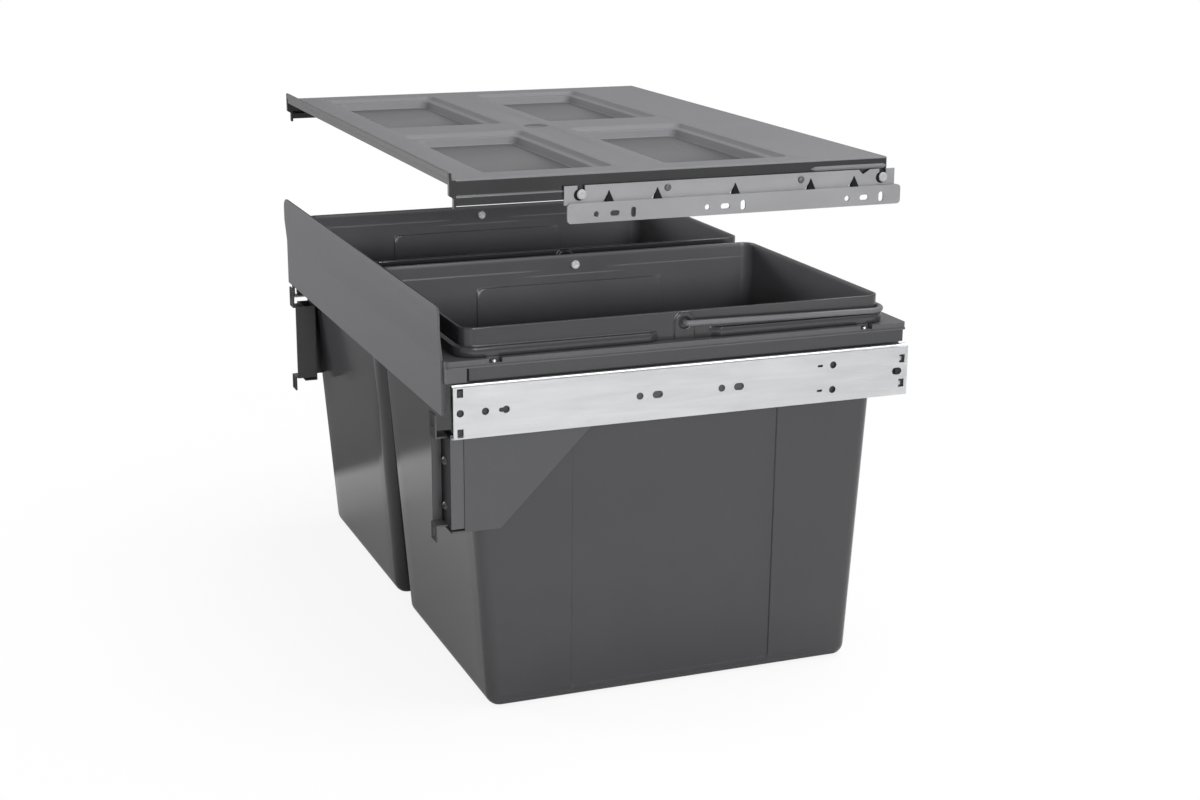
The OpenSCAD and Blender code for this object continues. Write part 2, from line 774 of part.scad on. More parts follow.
// One bin, centred on X = 0: tapered body, flange cut away at the pivots, collar and arches
module bin() {
    cut_half = flange_cut_l / 2;
    difference() {
        union() {
            tapered_block(0, flange_z);
            plate(bin_w, bin_d, bin_corner_r, bin_y, flange_z, bin_h - flange_z);
            difference() {
                plate(bin_w + 2 * flange_out, bin_d + 2 * flange_out, bin_corner_r + flange_out,
                    bin_y, flange_z, flange_h);
                for (side = [0, 1]) mirror([side, 0, 0])
                    translate([bin_w / 2, pivot_y, flange_z - over]) linear_extrude(flange_h + 2 * over)
                        polygon([[0, -cut_half], [0, cut_half],
                            [2 * flange_out, cut_half + 2 * flange_end_l],
                            [2 * flange_out, -cut_half - 2 * flange_end_l]]);
            }
            for (side = [0, 1]) mirror([side, 0, 0])
                along_x(bin_w / 2 - bin_wall / 2, bin_wall / 2 + arch_out) translate([pivot_y, 0]) {
                    translate([0, pivot_z]) circle(arch_r);
                    translate([-arch_r, flange_z]) square([2 * arch_r, pivot_z - flange_z]);
                }
        }
        wall_panel(0, panel_step);
        difference() {
            union() {
                tapered_block(bin_wall, flange_z + disc_t);
                plate(bin_w - 2 * bin_wall, bin_d - 2 * bin_wall, bin_corner_r - bin_wall,
                    bin_y, flange_z, collar_h + flange_h + over);
            }
            wall_panel(bin_wall, panel_step);
        }
        along_x(-bin_w / 2 - 2 * arch_out - over, bin_w + 4 * arch_out + 2 * over)
            translate([pivot_y, pivot_z]) circle(bail_r + pivot_gap);
    }
}

// Inner end of a bail's pin, inside the bin's wall
function pin_end() = bin_w / 2 - bin_wall - cap_gap - cap_grip;

// One carrying handle, centred on X = 0: pins through the bin's walls, two arms and the rear bar
module bail() {
    turn = bail_bend_r;
    corner = bail_corner_r;
    translate([0, pivot_y, pivot_z]) rotate([-bail_tilt, 0, 0]) {
        for (side = [0, 1]) mirror([side, 0, 0]) {
            translate([pin_end(), 0, 0]) rotate([0, 90, 0])
                cylinder(h = arm_x - turn - pin_end(), r = bail_r);
            translate([arm_x - turn, turn, 0]) rotate([0, 0, -90]) rotate_extrude(angle = 90)
                translate([turn, 0]) circle(bail_r);
            translate([arm_x, turn, 0]) rotate([-90, 0, 0])
                cylinder(h = arm_l - turn - corner, r = bail_r);
            translate([arm_x - corner, arm_l - corner, 0]) rotate_extrude(angle = 90)
                translate([corner, 0]) circle(bail_r);
        }
        translate([corner - arm_x, arm_l, 0]) rotate([0, 90, 0])
            cylinder(h = 2 * (arm_x - corner), r = bail_r);
    }
}

// The two caps on a bail's pins, inside the bin
module bail_caps() {
    for (side = [0, 1]) mirror([side, 0, 0])
        translate([pin_end() - cap_l + cap_grip, pivot_y, pivot_z]) rotate([0, 90, 0]) difference() {
            cylinder(h = cap_l, r = cap_r);
            translate([0, 0, cap_l - cap_grip]) cylinder(h = cap_grip + over, r = bail_r);
        }
}

// Lid bracket: plate on the cabinet, step, and an inner plate with an open slot for each pin.
// Each rib over the step has a three-cornered hole in front of it.
module lid_bracket() {
    upper_y0 = bracket_y0 - upper_reach;
    upper_y1 = pin_y[1] + tab_back;
    upper_z = step_z + bracket_upper_h;
    difference() {
        union() {
            along_x(side_x - bracket_t, bracket_t)
                translate([bracket_y0 + bracket_l / 2, plate_foot + bracket_plate_h / 2])
                    rounded_rect(bracket_l, bracket_plate_h, bracket_corner_r);
            box([bracket_x, bracket_y0 + bracket_corner_r, step_z - bracket_t],
                [side_x, bracket_y0 + bracket_l - bracket_corner_r, step_z]);
            along_x(bracket_x, bracket_t)
                polygon([[upper_y0, step_z - bracket_t], [upper_y1, step_z - bracket_t],
                    [upper_y1, upper_z], [pin_y[1] - tab_reach + pin_r, upper_z],
                    [pin_y[1] - tab_reach - pin_head_r, upper_z - pin_head_r],
                    [pin_y[1] - tab_reach - 2 * pin_head_r, upper_z], [upper_y0, upper_z]]);
            for (s = rib_shares)
                along_y(bracket_y0 + s * bracket_l, rib_w)
                    polygon([[bracket_x + bracket_t / 2, step_z - bracket_t / 2],
                        [side_x, step_z - bracket_t / 2],
                        [bracket_x + bracket_t, step_z + rib_h],
                        [bracket_x + bracket_t / 2, step_z + rib_h]]);
        }
        for (s = rib_shares)
            along_x(bracket_x - over, bracket_t + 2 * over)
                polygon([[bracket_y0 + s * bracket_l, step_z],
                    [bracket_y0 + s * bracket_l, step_z + rib_h],
                    [bracket_y0 + s * bracket_l - rib_hole_w, step_z]]);
        for (y = pin_y)
            along_x(bracket_x - over, bracket_t + 2 * over) {
                translate([y, pin_z]) circle(pin_r + pin_slot_gap);
                translate([y - pin_r - pin_slot_gap, pin_z])
                    square([2 * (pin_r + pin_slot_gap), bracket_upper_h]);
            }
        for (g = group_shares) {
            bracket_cut(g * bracket_l) circle(group_r);
            bracket_cut(g * bracket_l + group_step) slot_outline(group_l, group_r);
            bracket_cut(g * bracket_l + 2 * group_step) rotate(90) slot_outline(group_l, group_r);
        }
    }
}

// A cutter through the bracket's plate, back from its front end
module bracket_cut(back) {
    along_x(side_x - bracket_t - over, bracket_t + 2 * over)
        translate([bracket_y0 + back, plate_foot + group_height_share * bracket_plate_h]) children();
}

module bracket_studs() {
    color("gray")
    for (side = [0, 1], s = stud_shares)
        mirror([side, 0, 0])
            translate([bracket_x + bracket_t, bracket_y0 + s * bracket_l, pin_z + pin_r / 2])
                rotate([0, 90, 0]) cylinder(h = stud_t, r1 = stud_r, r2 = stud_r / 2);
}

// One recess of the lid: a wide upper step and a deeper floor, set out by wall
module recess(x0, x1, y0, wall, upper_h, lower_h, top) {
    w = x1 - x0;
    translate([(x0 + x1) / 2, y0 + recess_l / 2, lid_top]) {
        translate([0, 0, -upper_h]) linear_extrude(upper_h + top)
            rounded_rect(w + 2 * wall, recess_l + 2 * wall, recess_r + wall);
        translate([0, 0, -lower_h]) linear_extrude(lower_h + top)
            rounded_rect(w - 2 * recess_step + 2 * wall, recess_l - 2 * recess_step + 2 * wall,
                recess_r + wall);
    }
}

// A recess in one of the four places, with its walls for a pan or bare for the hollow
module recess_at(y_share, wall, upper_h, lower_h, top) {
    recess(recess_in_share * lid_x, recess_out_share * lid_x, lid_front + y_share * lid_l,
        wall, upper_h, lower_h, top);
}

// The pan of one recess, moulded in one with the lid and held by the plate's opening
module recess_pan(y_share) {
    difference() {
        recess_at(y_share, lid_t, recess_step_h + lid_t, recess_h + lid_t, 0);
        recess_at(y_share, 0, recess_step_h, recess_h, over);
    }
}

module lid() {
    ledge_z = lid_top - skirt_ledge_share * skirt_h;
    color([0.5, 0.5, 0.51])
    difference() {
        union() {
            box([-lid_x + skirt_inset, lid_front, ledge_z],
                [lid_x - skirt_inset, lid_rear, lid_top]);
            box([-lid_x, lid_front, lid_top - skirt_h], [lid_x, lid_rear, ledge_z]);
        }
        box([-lid_x + skirt_inset + lid_t, lid_front - over, lid_top - skirt_h - over],
            [lid_x - skirt_inset - lid_t, lid_rear - lid_t, lid_top - lid_t]);
        box([-lid_x - over, lid_rear - lid_t, lid_top - skirt_h - over],
            [lid_x + over, lid_rear + over, lid_top - rear_skirt_h]);
        for (side = [0, 1], y = recess_front_shares) mirror([side, 0, 0])
            recess_at(y, lid_t, recess_step_h + lid_t, lid_t, over);
        for (side = [0, 1], y = pin_y) mirror([side, 0, 0])
            along_x(lid_x - skirt_inset - lid_t - over, lid_t + skirt_inset + 2 * over)
                translate([y, pin_z]) circle(pin_r);
    }
}

// The strip's face between its ends, from the side: a lip that stands above the lid and below its plate
module strip_face_profile() {
    top_z = lid_top + strip_rise;
    polygon([[strip_front, top_z], [strip_front, top_z - strip_face_h],
        [strip_front + strip_t, top_z - strip_face_h], [strip_front + strip_t, lid_top - lid_t],
        [lid_front, lid_top - lid_t], [lid_front, lid_top],
        [strip_front + strip_t, lid_top], [strip_front + strip_t, top_z]]);
}

// The strip's end, from the side: an upper band in front, a slope and a lower band behind
module strip_end_profile() {
    top_z = lid_top + strip_rise;
    band_z = top_z - strip_h * strip_band_share;
    low_z = top_z - strip_h * (1 - strip_foot_share);
    foot_z = top_z - strip_h;
    back = lid_front - strip_front - strip_t;
    polygon([[strip_front, top_z], [strip_front, band_z], [strip_front + back, low_z],
        [strip_front + back, foot_z], [lid_front, foot_z], [lid_front, lid_top],
        [strip_front + strip_t, lid_top], [strip_front + strip_t, top_z]]);
}

module lid_front_strip() {
    color([0.36, 0.36, 0.37]) {
        along_x(-lid_x, 2 * lid_x) strip_face_profile();
        for (side = [0, 1]) mirror([side, 0, 0])
            along_x(lid_x - strip_end_w, strip_end_w) strip_end_profile();
    }
}

// The lid's headed pins: a shank through the skirt and the bracket's slot, with the head outside
module lid_pins() {
    head_x = bracket_x + bracket_t + fit;
    color([0.3, 0.3, 0.31])
    for (side = [0, 1], y = pin_y) mirror([side, 0, 0])
        translate([lid_x - skirt_inset - lid_t, y, pin_z]) rotate([0, 90, 0]) {
            cylinder(h = head_x - lid_x + skirt_inset + lid_t, r = pin_r);
            translate([0, 0, head_x - lid_x + skirt_inset + lid_t]) cylinder(h = pin_head_t, r = pin_head_r);
        }
}

module slide_outer_right() { color([0.86, 0.86, 0.86]) slide_outer(); }
module slide_outer_left() { color([0.86, 0.86, 0.86]) left() slide_outer(); }
module slide_middle_right() { color([0.78, 0.78, 0.79]) slide_middle(); }
module slide_middle_left() { color([0.78, 0.78, 0.79]) left() slide_middle(); }
module outer_ball_cage_right() { color([0.7, 0.72, 0.76]) outer_ball_cage(); }
module outer_ball_cage_left() { color([0.7, 0.72, 0.76]) left() outer_ball_cage(); }
module inner_ball_cage_right() { color([0.7, 0.72, 0.76]) inner_ball_cage(); }
module inner_ball_cage_left() { color([0.7, 0.72, 0.76]) left() inner_ball_cage(); }
module slide_inner_right() { color([0.82, 0.82, 0.83]) slide_inner(); }
module slide_inner_left() { color([0.82, 0.82, 0.83]) left() slide_inner(); }
module side_rail_right() { color([0.25, 0.25, 0.26]) side_rail(); }
module side_rail_left() { color([0.25, 0.25, 0.26]) left() side_rail(); }
module gusset_right() { color([0.3, 0.3, 0.31]) gusset(); }
module gusset_left() { color([0.3, 0.3, 0.31]) left() gusset(); }
module door_bracket_right() { color([0.27, 0.27, 0.28]) door_bracket(); }
module door_bracket_left() { color([0.27, 0.27, 0.28]) left() door_bracket(); }
module bin_right() { color([0.34, 0.34, 0.35]) translate([bin_x, 0, 0]) bin(); }
module bin_left() { color([0.34, 0.34, 0.35]) translate([-bin_x, 0, 0]) bin(); }
module bail_right() { color([0.55, 0.55, 0.56]) translate([bin_x, 0, 0]) bail(); }
module bail_left() { color([0.55, 0.55, 0.56]) translate([-bin_x, 0, 0]) bail(); }
module bail_caps_right() { color("white") translate([bin_x, 0, 0]) bail_caps(); }
module bail_caps_left() { color("white") translate([-bin_x, 0, 0]) bail_caps(); }
module lid_bracket_right() { color([0.62, 0.62, 0.63]) lid_bracket(); }
module lid_bracket_left() { color([0.62, 0.62, 0.63]) left() lid_bracket(); }
module lid_recess_right_front() { color([0.46, 0.46, 0.47]) recess_pan(recess_front_shares[0]); }
module lid_recess_right_rear() { color([0.46, 0.46, 0.47]) recess_pan(recess_front_shares[1]); }
module lid_recess_left_front() { color([0.46, 0.46, 0.47]) left() recess_pan(recess_front_shares[0]); }
module lid_recess_left_rear() { color([0.46, 0.46, 0.47]) left() recess_pan(recess_front_shares[1]); }

slide_outer_right();
slide_outer_left();
slide_middle_right();
slide_middle_left();
outer_ball_cage_right();
outer_ball_cage_left();
inner_ball_cage_right();
inner_ball_cage_left();
slide_inner_right();
slide_inner_left();
slide_rivets();
side_rail_right();
side_rail_left();
rear_cross_bar();
top_frame();
frame_screws();
front_panel();
panel_screws();
gusset_right();
gusset_left();
door_bracket_right();
door_bracket_left();
door_bracket_screws();
bin_right();
bin_left();
bail_right();
bail_left();
bail_caps_right();
bail_caps_left();
lid_bracket_right();
lid_bracket_left();
bracket_studs();
lid();
lid_recess_right_front();
lid_recess_right_rear();
lid_recess_left_front();
lid_recess_left_rear();
lid_front_strip();
lid_pins();
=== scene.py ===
"""Looks of a pull-out waste bin unit: two bins in a drawer frame on ball slides, under a raised cover lid.

Sizes are in millimetres in the classes, in the CAD frame: X across the cabinet, Y to its back, Z up.
"""

import logging
import math
from collections.abc import Sequence
from dataclasses import dataclass
from enum import Enum
from functools import partial

import bmesh
import bpy
import numpy as np
from mathutils import Matrix, Vector
from mathutils.geometry import tessellate_polygon


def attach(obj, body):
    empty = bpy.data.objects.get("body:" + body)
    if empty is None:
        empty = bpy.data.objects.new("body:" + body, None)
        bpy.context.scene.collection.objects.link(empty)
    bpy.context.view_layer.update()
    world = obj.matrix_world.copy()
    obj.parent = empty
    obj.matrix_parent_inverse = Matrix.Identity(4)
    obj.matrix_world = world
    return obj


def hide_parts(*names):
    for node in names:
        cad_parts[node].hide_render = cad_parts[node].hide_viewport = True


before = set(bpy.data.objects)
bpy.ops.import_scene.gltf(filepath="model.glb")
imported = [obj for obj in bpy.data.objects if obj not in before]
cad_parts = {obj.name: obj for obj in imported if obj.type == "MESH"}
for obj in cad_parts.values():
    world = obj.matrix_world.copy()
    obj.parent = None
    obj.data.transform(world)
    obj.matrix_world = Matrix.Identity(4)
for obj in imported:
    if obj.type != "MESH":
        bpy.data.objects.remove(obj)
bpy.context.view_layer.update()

MM = 0.001
log = logging.getLogger("waste_bin_unit")

Pair = tuple[float, float]
Triple = tuple[float, float, float]
Box = tuple[float, float, float, float]
Colour = tuple[float, float, float, float]

# The colour sockets of a Mix node by place, as it has a float and a vector socket of each name too
MIX_A = 6
MIX_B = 7
MIX_RESULT = 2


def linear(colour: str) -> Colour:
    """Turns an sRGB hex colour such as "#808080" to linear RGBA.

    Args:
        colour: six hex digits after a hash sign.

    Returns:
        The linear red, green, blue and an alpha of 1.
    """
    parts = [int(colour[i : i + 2], 16) / 255 for i in (1, 3, 5)]
    values = [c / 12.92 if c <= 0.04045 else ((c + 0.055) / 1.055) ** 2.4 for c in parts]
    return values[0], values[1], values[2], 1.0


def shade(colour: str, share: float) -> str:
    """Makes an sRGB hex colour lighter or darker by a share.

    Args:
        colour: six hex digits after a hash sign.
        share: what each channel is multiplied by.

    Returns:
        The new colour as hex.
    """
    parts = [min(255, round(int(colour[i : i + 2], 16) * share)) for i in (1, 3, 5)]
    return "#%02x%02x%02x" % tuple(parts)


def add_node(
    tree: bpy.types.NodeTree, kind: str, inputs: dict[str | int, object] | None = None, **settings: object
) -> bpy.types.Node:
    """Adds one node with its settings, values and links.

    Args:
        tree: the node tree that gets it.
        kind: the node's type.
        inputs: a value or an output socket for each input, by name or place.
        settings: the node's own properties.

    Returns:
        The new node.
    """
    node = tree.nodes.new(kind)
    for name, value in settings.items():
        setattr(node, name, value)
    for key, value in (inputs or {}).items():
        if isinstance(value, bpy.types.NodeSocket):
            tree.links.new(value, node.inputs[key])
        else:
            node.inputs[key].default_value = value
    return node


class Side(Enum):
    """The two halves of the unit, by the sign of X."""

    RIGHT = 1
    LEFT = -1

    @property
    def label(self) -> str:
        """The side's name as the CAD nodes spell it."""
        return self.name.lower()


# Finishes


class Painter:
    """The node tree of one finish, with the nodes that the finishes share."""

    def __init__(self, material: bpy.types.Material) -> None:
        """Takes the material's tree and shader, and reads the object's own coordinates."""
        self.tree = material.node_tree
        self.shader = self.tree.nodes["Principled BSDF"]
        self.place = add_node(self.tree, "ShaderNodeTexCoord").outputs["Object"]

    def noise(self, size_mm: float, along: float = 1.0, **inputs: float) -> bpy.types.NodeSocket:
        """Noise with patches of a size in mm.

        Args:
            size_mm: size of the patches.
            along: scale in Y, below 1 where the patches are drawn out along it.
            inputs: the noise's other inputs.

        Returns:
            The noise's output.
        """
        place = self.place
        if along != 1.0:
            scale = {"Vector": place, "Scale": (1.0, along, 1.0)}
            place = add_node(self.tree, "ShaderNodeMapping", scale).outputs["Vector"]
        values = {"Vector": place, "Scale": 1 / (size_mm * MM), **inputs}
        return add_node(self.tree, "ShaderNodeTexNoise", values).outputs["Fac"]

    def tint(self, share: bpy.types.NodeSocket, colour: str, low: float, high: float) -> None:
        """Colours the shader between two shades of one colour."""
        ends = {"Factor": share, MIX_A: linear(shade(colour, low)), MIX_B: linear(shade(colour, high))}
        mix = add_node(self.tree, "ShaderNodeMix", ends, data_type="RGBA")
        self.tree.links.new(mix.outputs[MIX_RESULT], self.shader.inputs["Base Color"])

    def gloss(self, share: bpy.types.NodeSocket, low: float, high: float) -> None:
        """Sets the shader's roughness between two values."""
        ends = {"Value": share, "To Min": low, "To Max": high}
        made = add_node(self.tree, "ShaderNodeMapRange", ends)
        self.tree.links.new(made.outputs["Result"], self.shader.inputs["Roughness"])

    def bump(self, height: bpy.types.NodeSocket, strength: float, depth_mm: float) -> None:
        """Gives the shader a relief of a depth in mm."""
        values = {"Height": height, "Strength": strength, "Distance": depth_mm * MM}
        made = add_node(self.tree, "ShaderNodeBump", values)
        self.tree.links.new(made.outputs["Normal"], self.shader.inputs["Normal"])


@dataclass(frozen=True)
class Finish:
    """A finish with its colour and roughness, built once as a node material."""

    name: str
    colour: str
    roughness: float
    slot: str = "dark_steel"

    def material(self) -> bpy.types.Material:
        """The finish's material, made where a piece first asks for it."""
        found = bpy.data.materials.get(self.name)
        if found:
            return found
        material = bpy.data.materials.new(self.name)
        material.use_nodes = True
        self.paint(Painter(material))
        return material

    def paint(self, painter: Painter) -> None:
        """Builds the finish's nodes."""
        raise NotImplementedError


@dataclass(frozen=True)
class MouldedPlastic(Finish):
    """Injection-moulded polypropylene or ABS: a dyed body under a thin even sheen."""

    grain_mm: float = 1.2
    grain_depth: float = 0.0
    flow_share: float = 0.05
    flow_mm: float = 60.0
    sheen: float = 0.5
    slot: str = "bin_plastic"

    def paint(self, painter: Painter) -> None:
        """Builds slow clouds of melt flow in colour and gloss, and an eroded mould grain."""
        flow = painter.noise(self.flow_mm, Detail=3.0)
        painter.tint(flow, self.colour, 1 - self.flow_share, 1 + self.flow_share)
        painter.gloss(flow, self.roughness * 0.86, self.roughness * 1.14)
        painter.shader.inputs["IOR"].default_value = 1.49
        painter.shader.inputs["Specular IOR Level"].default_value = self.sheen
        if self.grain_depth:
            # The mould's spark-eroded grain is about 0.3 mm; drawn at grain_mm, as coarse as shows here
            grain = painter.noise(self.grain_mm, Detail=2.0, Roughness=0.6)
            painter.bump(grain, self.grain_depth, 0.3)


@dataclass(frozen=True)
class PowderCoat(Finish):
    """Satin polyester powder on sheet steel: even colour with a soft orange peel."""

    peel_mm: float = 2.2
    peel_depth: float = 0.12
    speck_mm: float = 0.7
    sheen: float = 0.5

    def paint(self, painter: Painter) -> None:
        """Builds fine specks in colour and the coat's orange peel as bump."""
        painter.tint(painter.noise(self.speck_mm, Detail=2.0), self.colour, 0.93, 1.07)
        painter.bump(painter.noise(self.peel_mm, Detail=1.0), self.peel_depth, 0.4)
        painter.shader.inputs["Roughness"].default_value = self.roughness
        painter.shader.inputs["IOR"].default_value = 1.5
        painter.shader.inputs["Specular IOR Level"].default_value = self.sheen


@dataclass(frozen=True)
class ZincPlate(Finish):
    """Bright zinc on cold-rolled strip: pale metal with rolling lines along Y and cloudy passivation."""

    line_mm: float = 0.5
    cloud_mm: float = 9.0
    slot: str = "zinc_steel"

    def paint(self, painter: Painter) -> None:
        """Builds rolling lines in gloss and bump, and slow clouds in colour."""
        lines = painter.noise(self.line_mm, 0.02, Detail=3.0)
        clouds = painter.noise(self.cloud_mm, 0.12, Detail=4.0, Distortion=0.6)
        painter.tint(clouds, self.colour, 0.9, 1.06)
        painter.gloss(lines, self.roughness * 0.75, self.roughness * 1.3)
        painter.bump(lines, 0.1, 0.1)
        painter.shader.inputs["Metallic"].default_value = 1.0


# Dark grey polypropylene with the glossy outside of a waste bin
BIN_OUTSIDE = MouldedPlastic("bin_polypropylene_gloss", "#39393b", 0.15, grain_mm=1.6, grain_depth=0.02)
# The same moulding inside, stoned and duller, coloured much lighter than the outside as painted light
BIN_INSIDE_PAINTED_LIGHT = MouldedPlastic("bin_polypropylene_inside", "#646467", 0.34, grain_mm=1.6, grain_depth=0.04)
BAIL_PLASTIC = MouldedPlastic("bail_polypropylene_grey", "#626265", 0.36, slot="bail_plastic")
CAP_PLASTIC = MouldedPlastic("cap_acetal_white", "#ffffff", 0.3, flow_share=0.01, slot="cap_plastic")

lid_plastic = partial(MouldedPlastic, slot="lid_plastic")
# Mould grain on the lid's top, which scatters light evenly
LID_GRAINED = lid_plastic("lid_polypropylene_grained", "#6c6c6f", 0.6, grain_mm=1.3, grain_depth=1.0)
# The lid's polished recess floors
LID_POLISHED = lid_plastic("lid_polypropylene_polished", "#404043", 0.26, flow_share=0.03)
# The lid's skirts, smooth, coloured far darker than its top as painted shade; the strip's ends take it too
LID_SKIRT_SHADED = lid_plastic("lid_polypropylene_skirt", "#1e1e20", 0.2, sheen=0.9)
# The front strip, a little darker than the lid
LID_STRIP = MouldedPlastic("lid_strip_polypropylene", "#515153", 0.5, slot="frame_plastic")
FRAME_ABS = MouldedPlastic("frame_abs_satin", "#4e4e50", 0.42, grain_depth=0.12, slot="frame_plastic")

nylon = partial(MouldedPlastic, slot="bracket_plastic")
BRACKET_PLASTIC = nylon(
    "bracket_nylon_silver", "#878789", 0.46, grain_mm=0.9, grain_depth=0.4, flow_share=0.1
)
# Studs of a darker and glossier nylon, pins of a lighter one
STUD_PLASTIC = nylon("stud_nylon_grey", "#505052", 0.26)
PIN_PLASTIC = nylon("pin_nylon_light", "#a2a2a4", 0.3)
# Painted shade: the unlit bottoms of pockets and slots, and of the frame's gaps
POCKET_SHADE = nylon("pocket_painted_shade", "#141415", 0.6, sheen=0.12)

RAIL_COAT = PowderCoat("rail_powder_coat_anthracite", "#3b3b3d", 0.38)
BRACKET_COAT = PowderCoat("door_bracket_powder_coat", "#4e4e50", 0.4)
# The brackets' and gussets' fronts, which the door covers, coloured near black as painted shade
BRACKET_FRONT_SHADE = PowderCoat("door_bracket_black_primer", "#161617", 0.5, sheen=0.12)
GUSSET_COAT = PowderCoat("gusset_powder_coat", "#454547", 0.42)
PANEL_COAT = PowderCoat("panel_powder_coat_matt", "#555558", 0.6, sheen=0.35, slot="panel_steel")
SCREW_COAT = PowderCoat("screw_black_zinc", "#3a3a3c", 0.3, slot="screw_steel")
SLIDE_ZINC = ZincPlate("slide_zinc_plate", "#c9cacc", 0.3)
# Painted shade: the middle and inner members and the rivets, zinc like the outer members, coloured dark so
# that the holes look dark
INNER_ZINC_SHADED = ZincPlate("slide_zinc_plate_inner_shaded", "#48494c", 0.36)
BALL_STEEL = ZincPlate("slide_ball_steel", "#58595c", 0.3)
# The rubber stop behind the slide's rear windows, near black, which also fills the windows with painted shade
STOP_RUBBER_SHADE = MouldedPlastic("slide_stop_rubber_shade", "#1c1c1d", 0.7, slot="dark_steel")


# Making pieces


def add_object(name: str, data: bpy.types.ID) -> bpy.types.Object:
    """Adds an object with its data to the scene."""
    made = bpy.data.objects.new(name, data)
    bpy.context.scene.collection.objects.link(made)
    return made


def baked(holder: bpy.types.Object) -> bpy.types.Mesh:
    """Takes an object's modifiers off and returns the plain mesh that they made."""
    graph = bpy.context.evaluated_depsgraph_get()
    graph.update()
    mesh = bpy.data.meshes.new_from_object(holder.evaluated_get(graph))
    holder.modifiers.clear()
    return mesh


class Shell:
    """Points and faces of one piece in the making, in millimetres."""

    def __init__(self) -> None:
        """Starts with no points."""
        self.points: list[Triple] = []
        self.faces: list[tuple[int, ...]] = []
        self.finishes: list[int] = []

    def add(self, points: np.ndarray) -> list[int]:
        """Adds points and returns their numbers."""
        first = len(self.points)
        self.points.extend(map(tuple, np.asarray(points, float)))
        return list(range(first, len(self.points)))

    def face(self, corners: Sequence[int], finish: int) -> None:
        """Adds one face with its finish's number."""
        self.faces.append(tuple(corners))
        self.finishes.append(finish)

    def loft(self, rings: Sequence[np.ndarray], closed: bool = True, finish: int | Sequence[int] = 0) -> None:
        """Joins rings of equal point counts by quads.

        Args:
            rings: the rings' points.
            closed: whether each ring joins its end to its start.
            finish: one finish for all, or one for each gap between rings.
        """
        numbers = [self.add(r) for r in rings]
        count = len(numbers[0])
        for k, (low, high) in enumerate(zip(numbers, numbers[1:])):
            which = finish if isinstance(finish, int) else finish[k]
            for i in range(count if closed else count - 1):
                j = (i + 1) % count
                self.face((low[i], low[j], high[j], high[i]), which)

    def fill(self, outline: np.ndarray, holes: Sequence[np.ndarray] = (), finish: int = 0) -> None:
        """Fills a flat outline, with holes, by triangles."""
        loops = [outline, *holes]
        numbers = self.add(np.concatenate(loops))
        for triangle in tessellate_polygon([[Vector(p) for p in loop] for loop in loops]):
            self.face([numbers[i] for i in triangle], finish)

    def solid(self, rings: Sequence[np.ndarray], finish: int = 0) -> None:
        """Joins rings by quads and closes both ends."""
        self.loft(rings, finish=finish)
        self.fill(rings[0], finish=finish)
        self.fill(rings[-1], finish=finish)

    def piece(
        self, name: str, finishes: Sequence[Finish], body: str, replaces: Sequence[str] = (), **form: float
    ) -> bpy.types.Object:
        """Makes the object, dresses it and puts it on its body.

        Args:
            name: the piece's name.
            finishes: its finishes, in the order of their numbers.
            body: the CAD body that it rides on.
            replaces: the CAD nodes that it stands for.
            form: crease_deg, wall and edge, as dress takes them.

        Returns:
            The finished piece.
        """
        mesh = bpy.data.meshes.new(name)
        mesh.from_pydata([[c * MM for c in p] for p in self.points], [], self.faces)
        mesh.polygons.foreach_set("material_index", self.finishes)
        bm = bmesh.new()
        bm.from_mesh(mesh)
        bmesh.ops.remove_doubles(bm, verts=bm.verts, dist=0.004 * MM)
        bmesh.ops.recalc_face_normals(bm, faces=bm.faces)
        bm.to_mesh(mesh)
        bm.free()
        return dress(mesh, name, finishes, body, replaces, **form)


def dress(
    mesh: bpy.types.Mesh,
    name: str,
    finishes: Sequence[Finish],
    body: str,
    replaces: Sequence[str] = (),
    crease_deg: float = 40.0,
    wall: float = 0.0,
    edge: float = 0.0,
) -> bpy.types.Object:
    """Turns a finished mesh to a piece with its materials, on its body.

    Args:
        mesh: the mesh, in metres and in place.
        name: the piece's name.
        finishes: its finishes, in the order of their numbers.
        body: the CAD body that it rides on.
        replaces: the CAD nodes that it stands for.
        crease_deg: edges sharper than this stay sharp.
        wall: thickness in mm that a sheet grows inwards, or 0.
        edge: width in mm of the rounding along sharp edges, or 0.

    Returns:
        The piece.
    """
    # Clearing the materials would set every face's number to 0
    numbers = [min(polygon.material_index, len(finishes) - 1) for polygon in mesh.polygons]
    mesh.materials.clear()
    for finish in finishes:
        mesh.materials.append(finish.material())
    mesh.polygons.foreach_set("material_index", numbers)
    mesh.shade_smooth()
    mesh.set_sharp_from_angle(angle=math.radians(crease_deg))
    piece = add_object(name, mesh)
    if wall:
        # A sheet's open edges turn to square rims, which are kept out of the smooth shading
        uses = np.bincount([loop.edge_index for loop in mesh.loops], minlength=len(mesh.edges))
        for edge_number in np.flatnonzero(uses == 1):
            mesh.edges[int(edge_number)].use_edge_sharp = True
        solid = piece.modifiers.new("wall", "SOLIDIFY")
        solid.thickness, solid.offset, solid.use_even_offset = wall * MM, -1.0, True
    if edge:
        bevel = piece.modifiers.new("edge", "BEVEL")
        bevel.width, bevel.segments, bevel.limit_method = edge * MM, 2, "ANGLE"
        bevel.angle_limit, bevel.use_clamp_overlap = math.radians(crease_deg - 5), True
        bevel.harden_normals = True
    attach(piece, body)
    if replaces:
        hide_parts(*replaces)
    log.info("%s: %d faces on %s", name, len(mesh.polygons), body)
    return piece


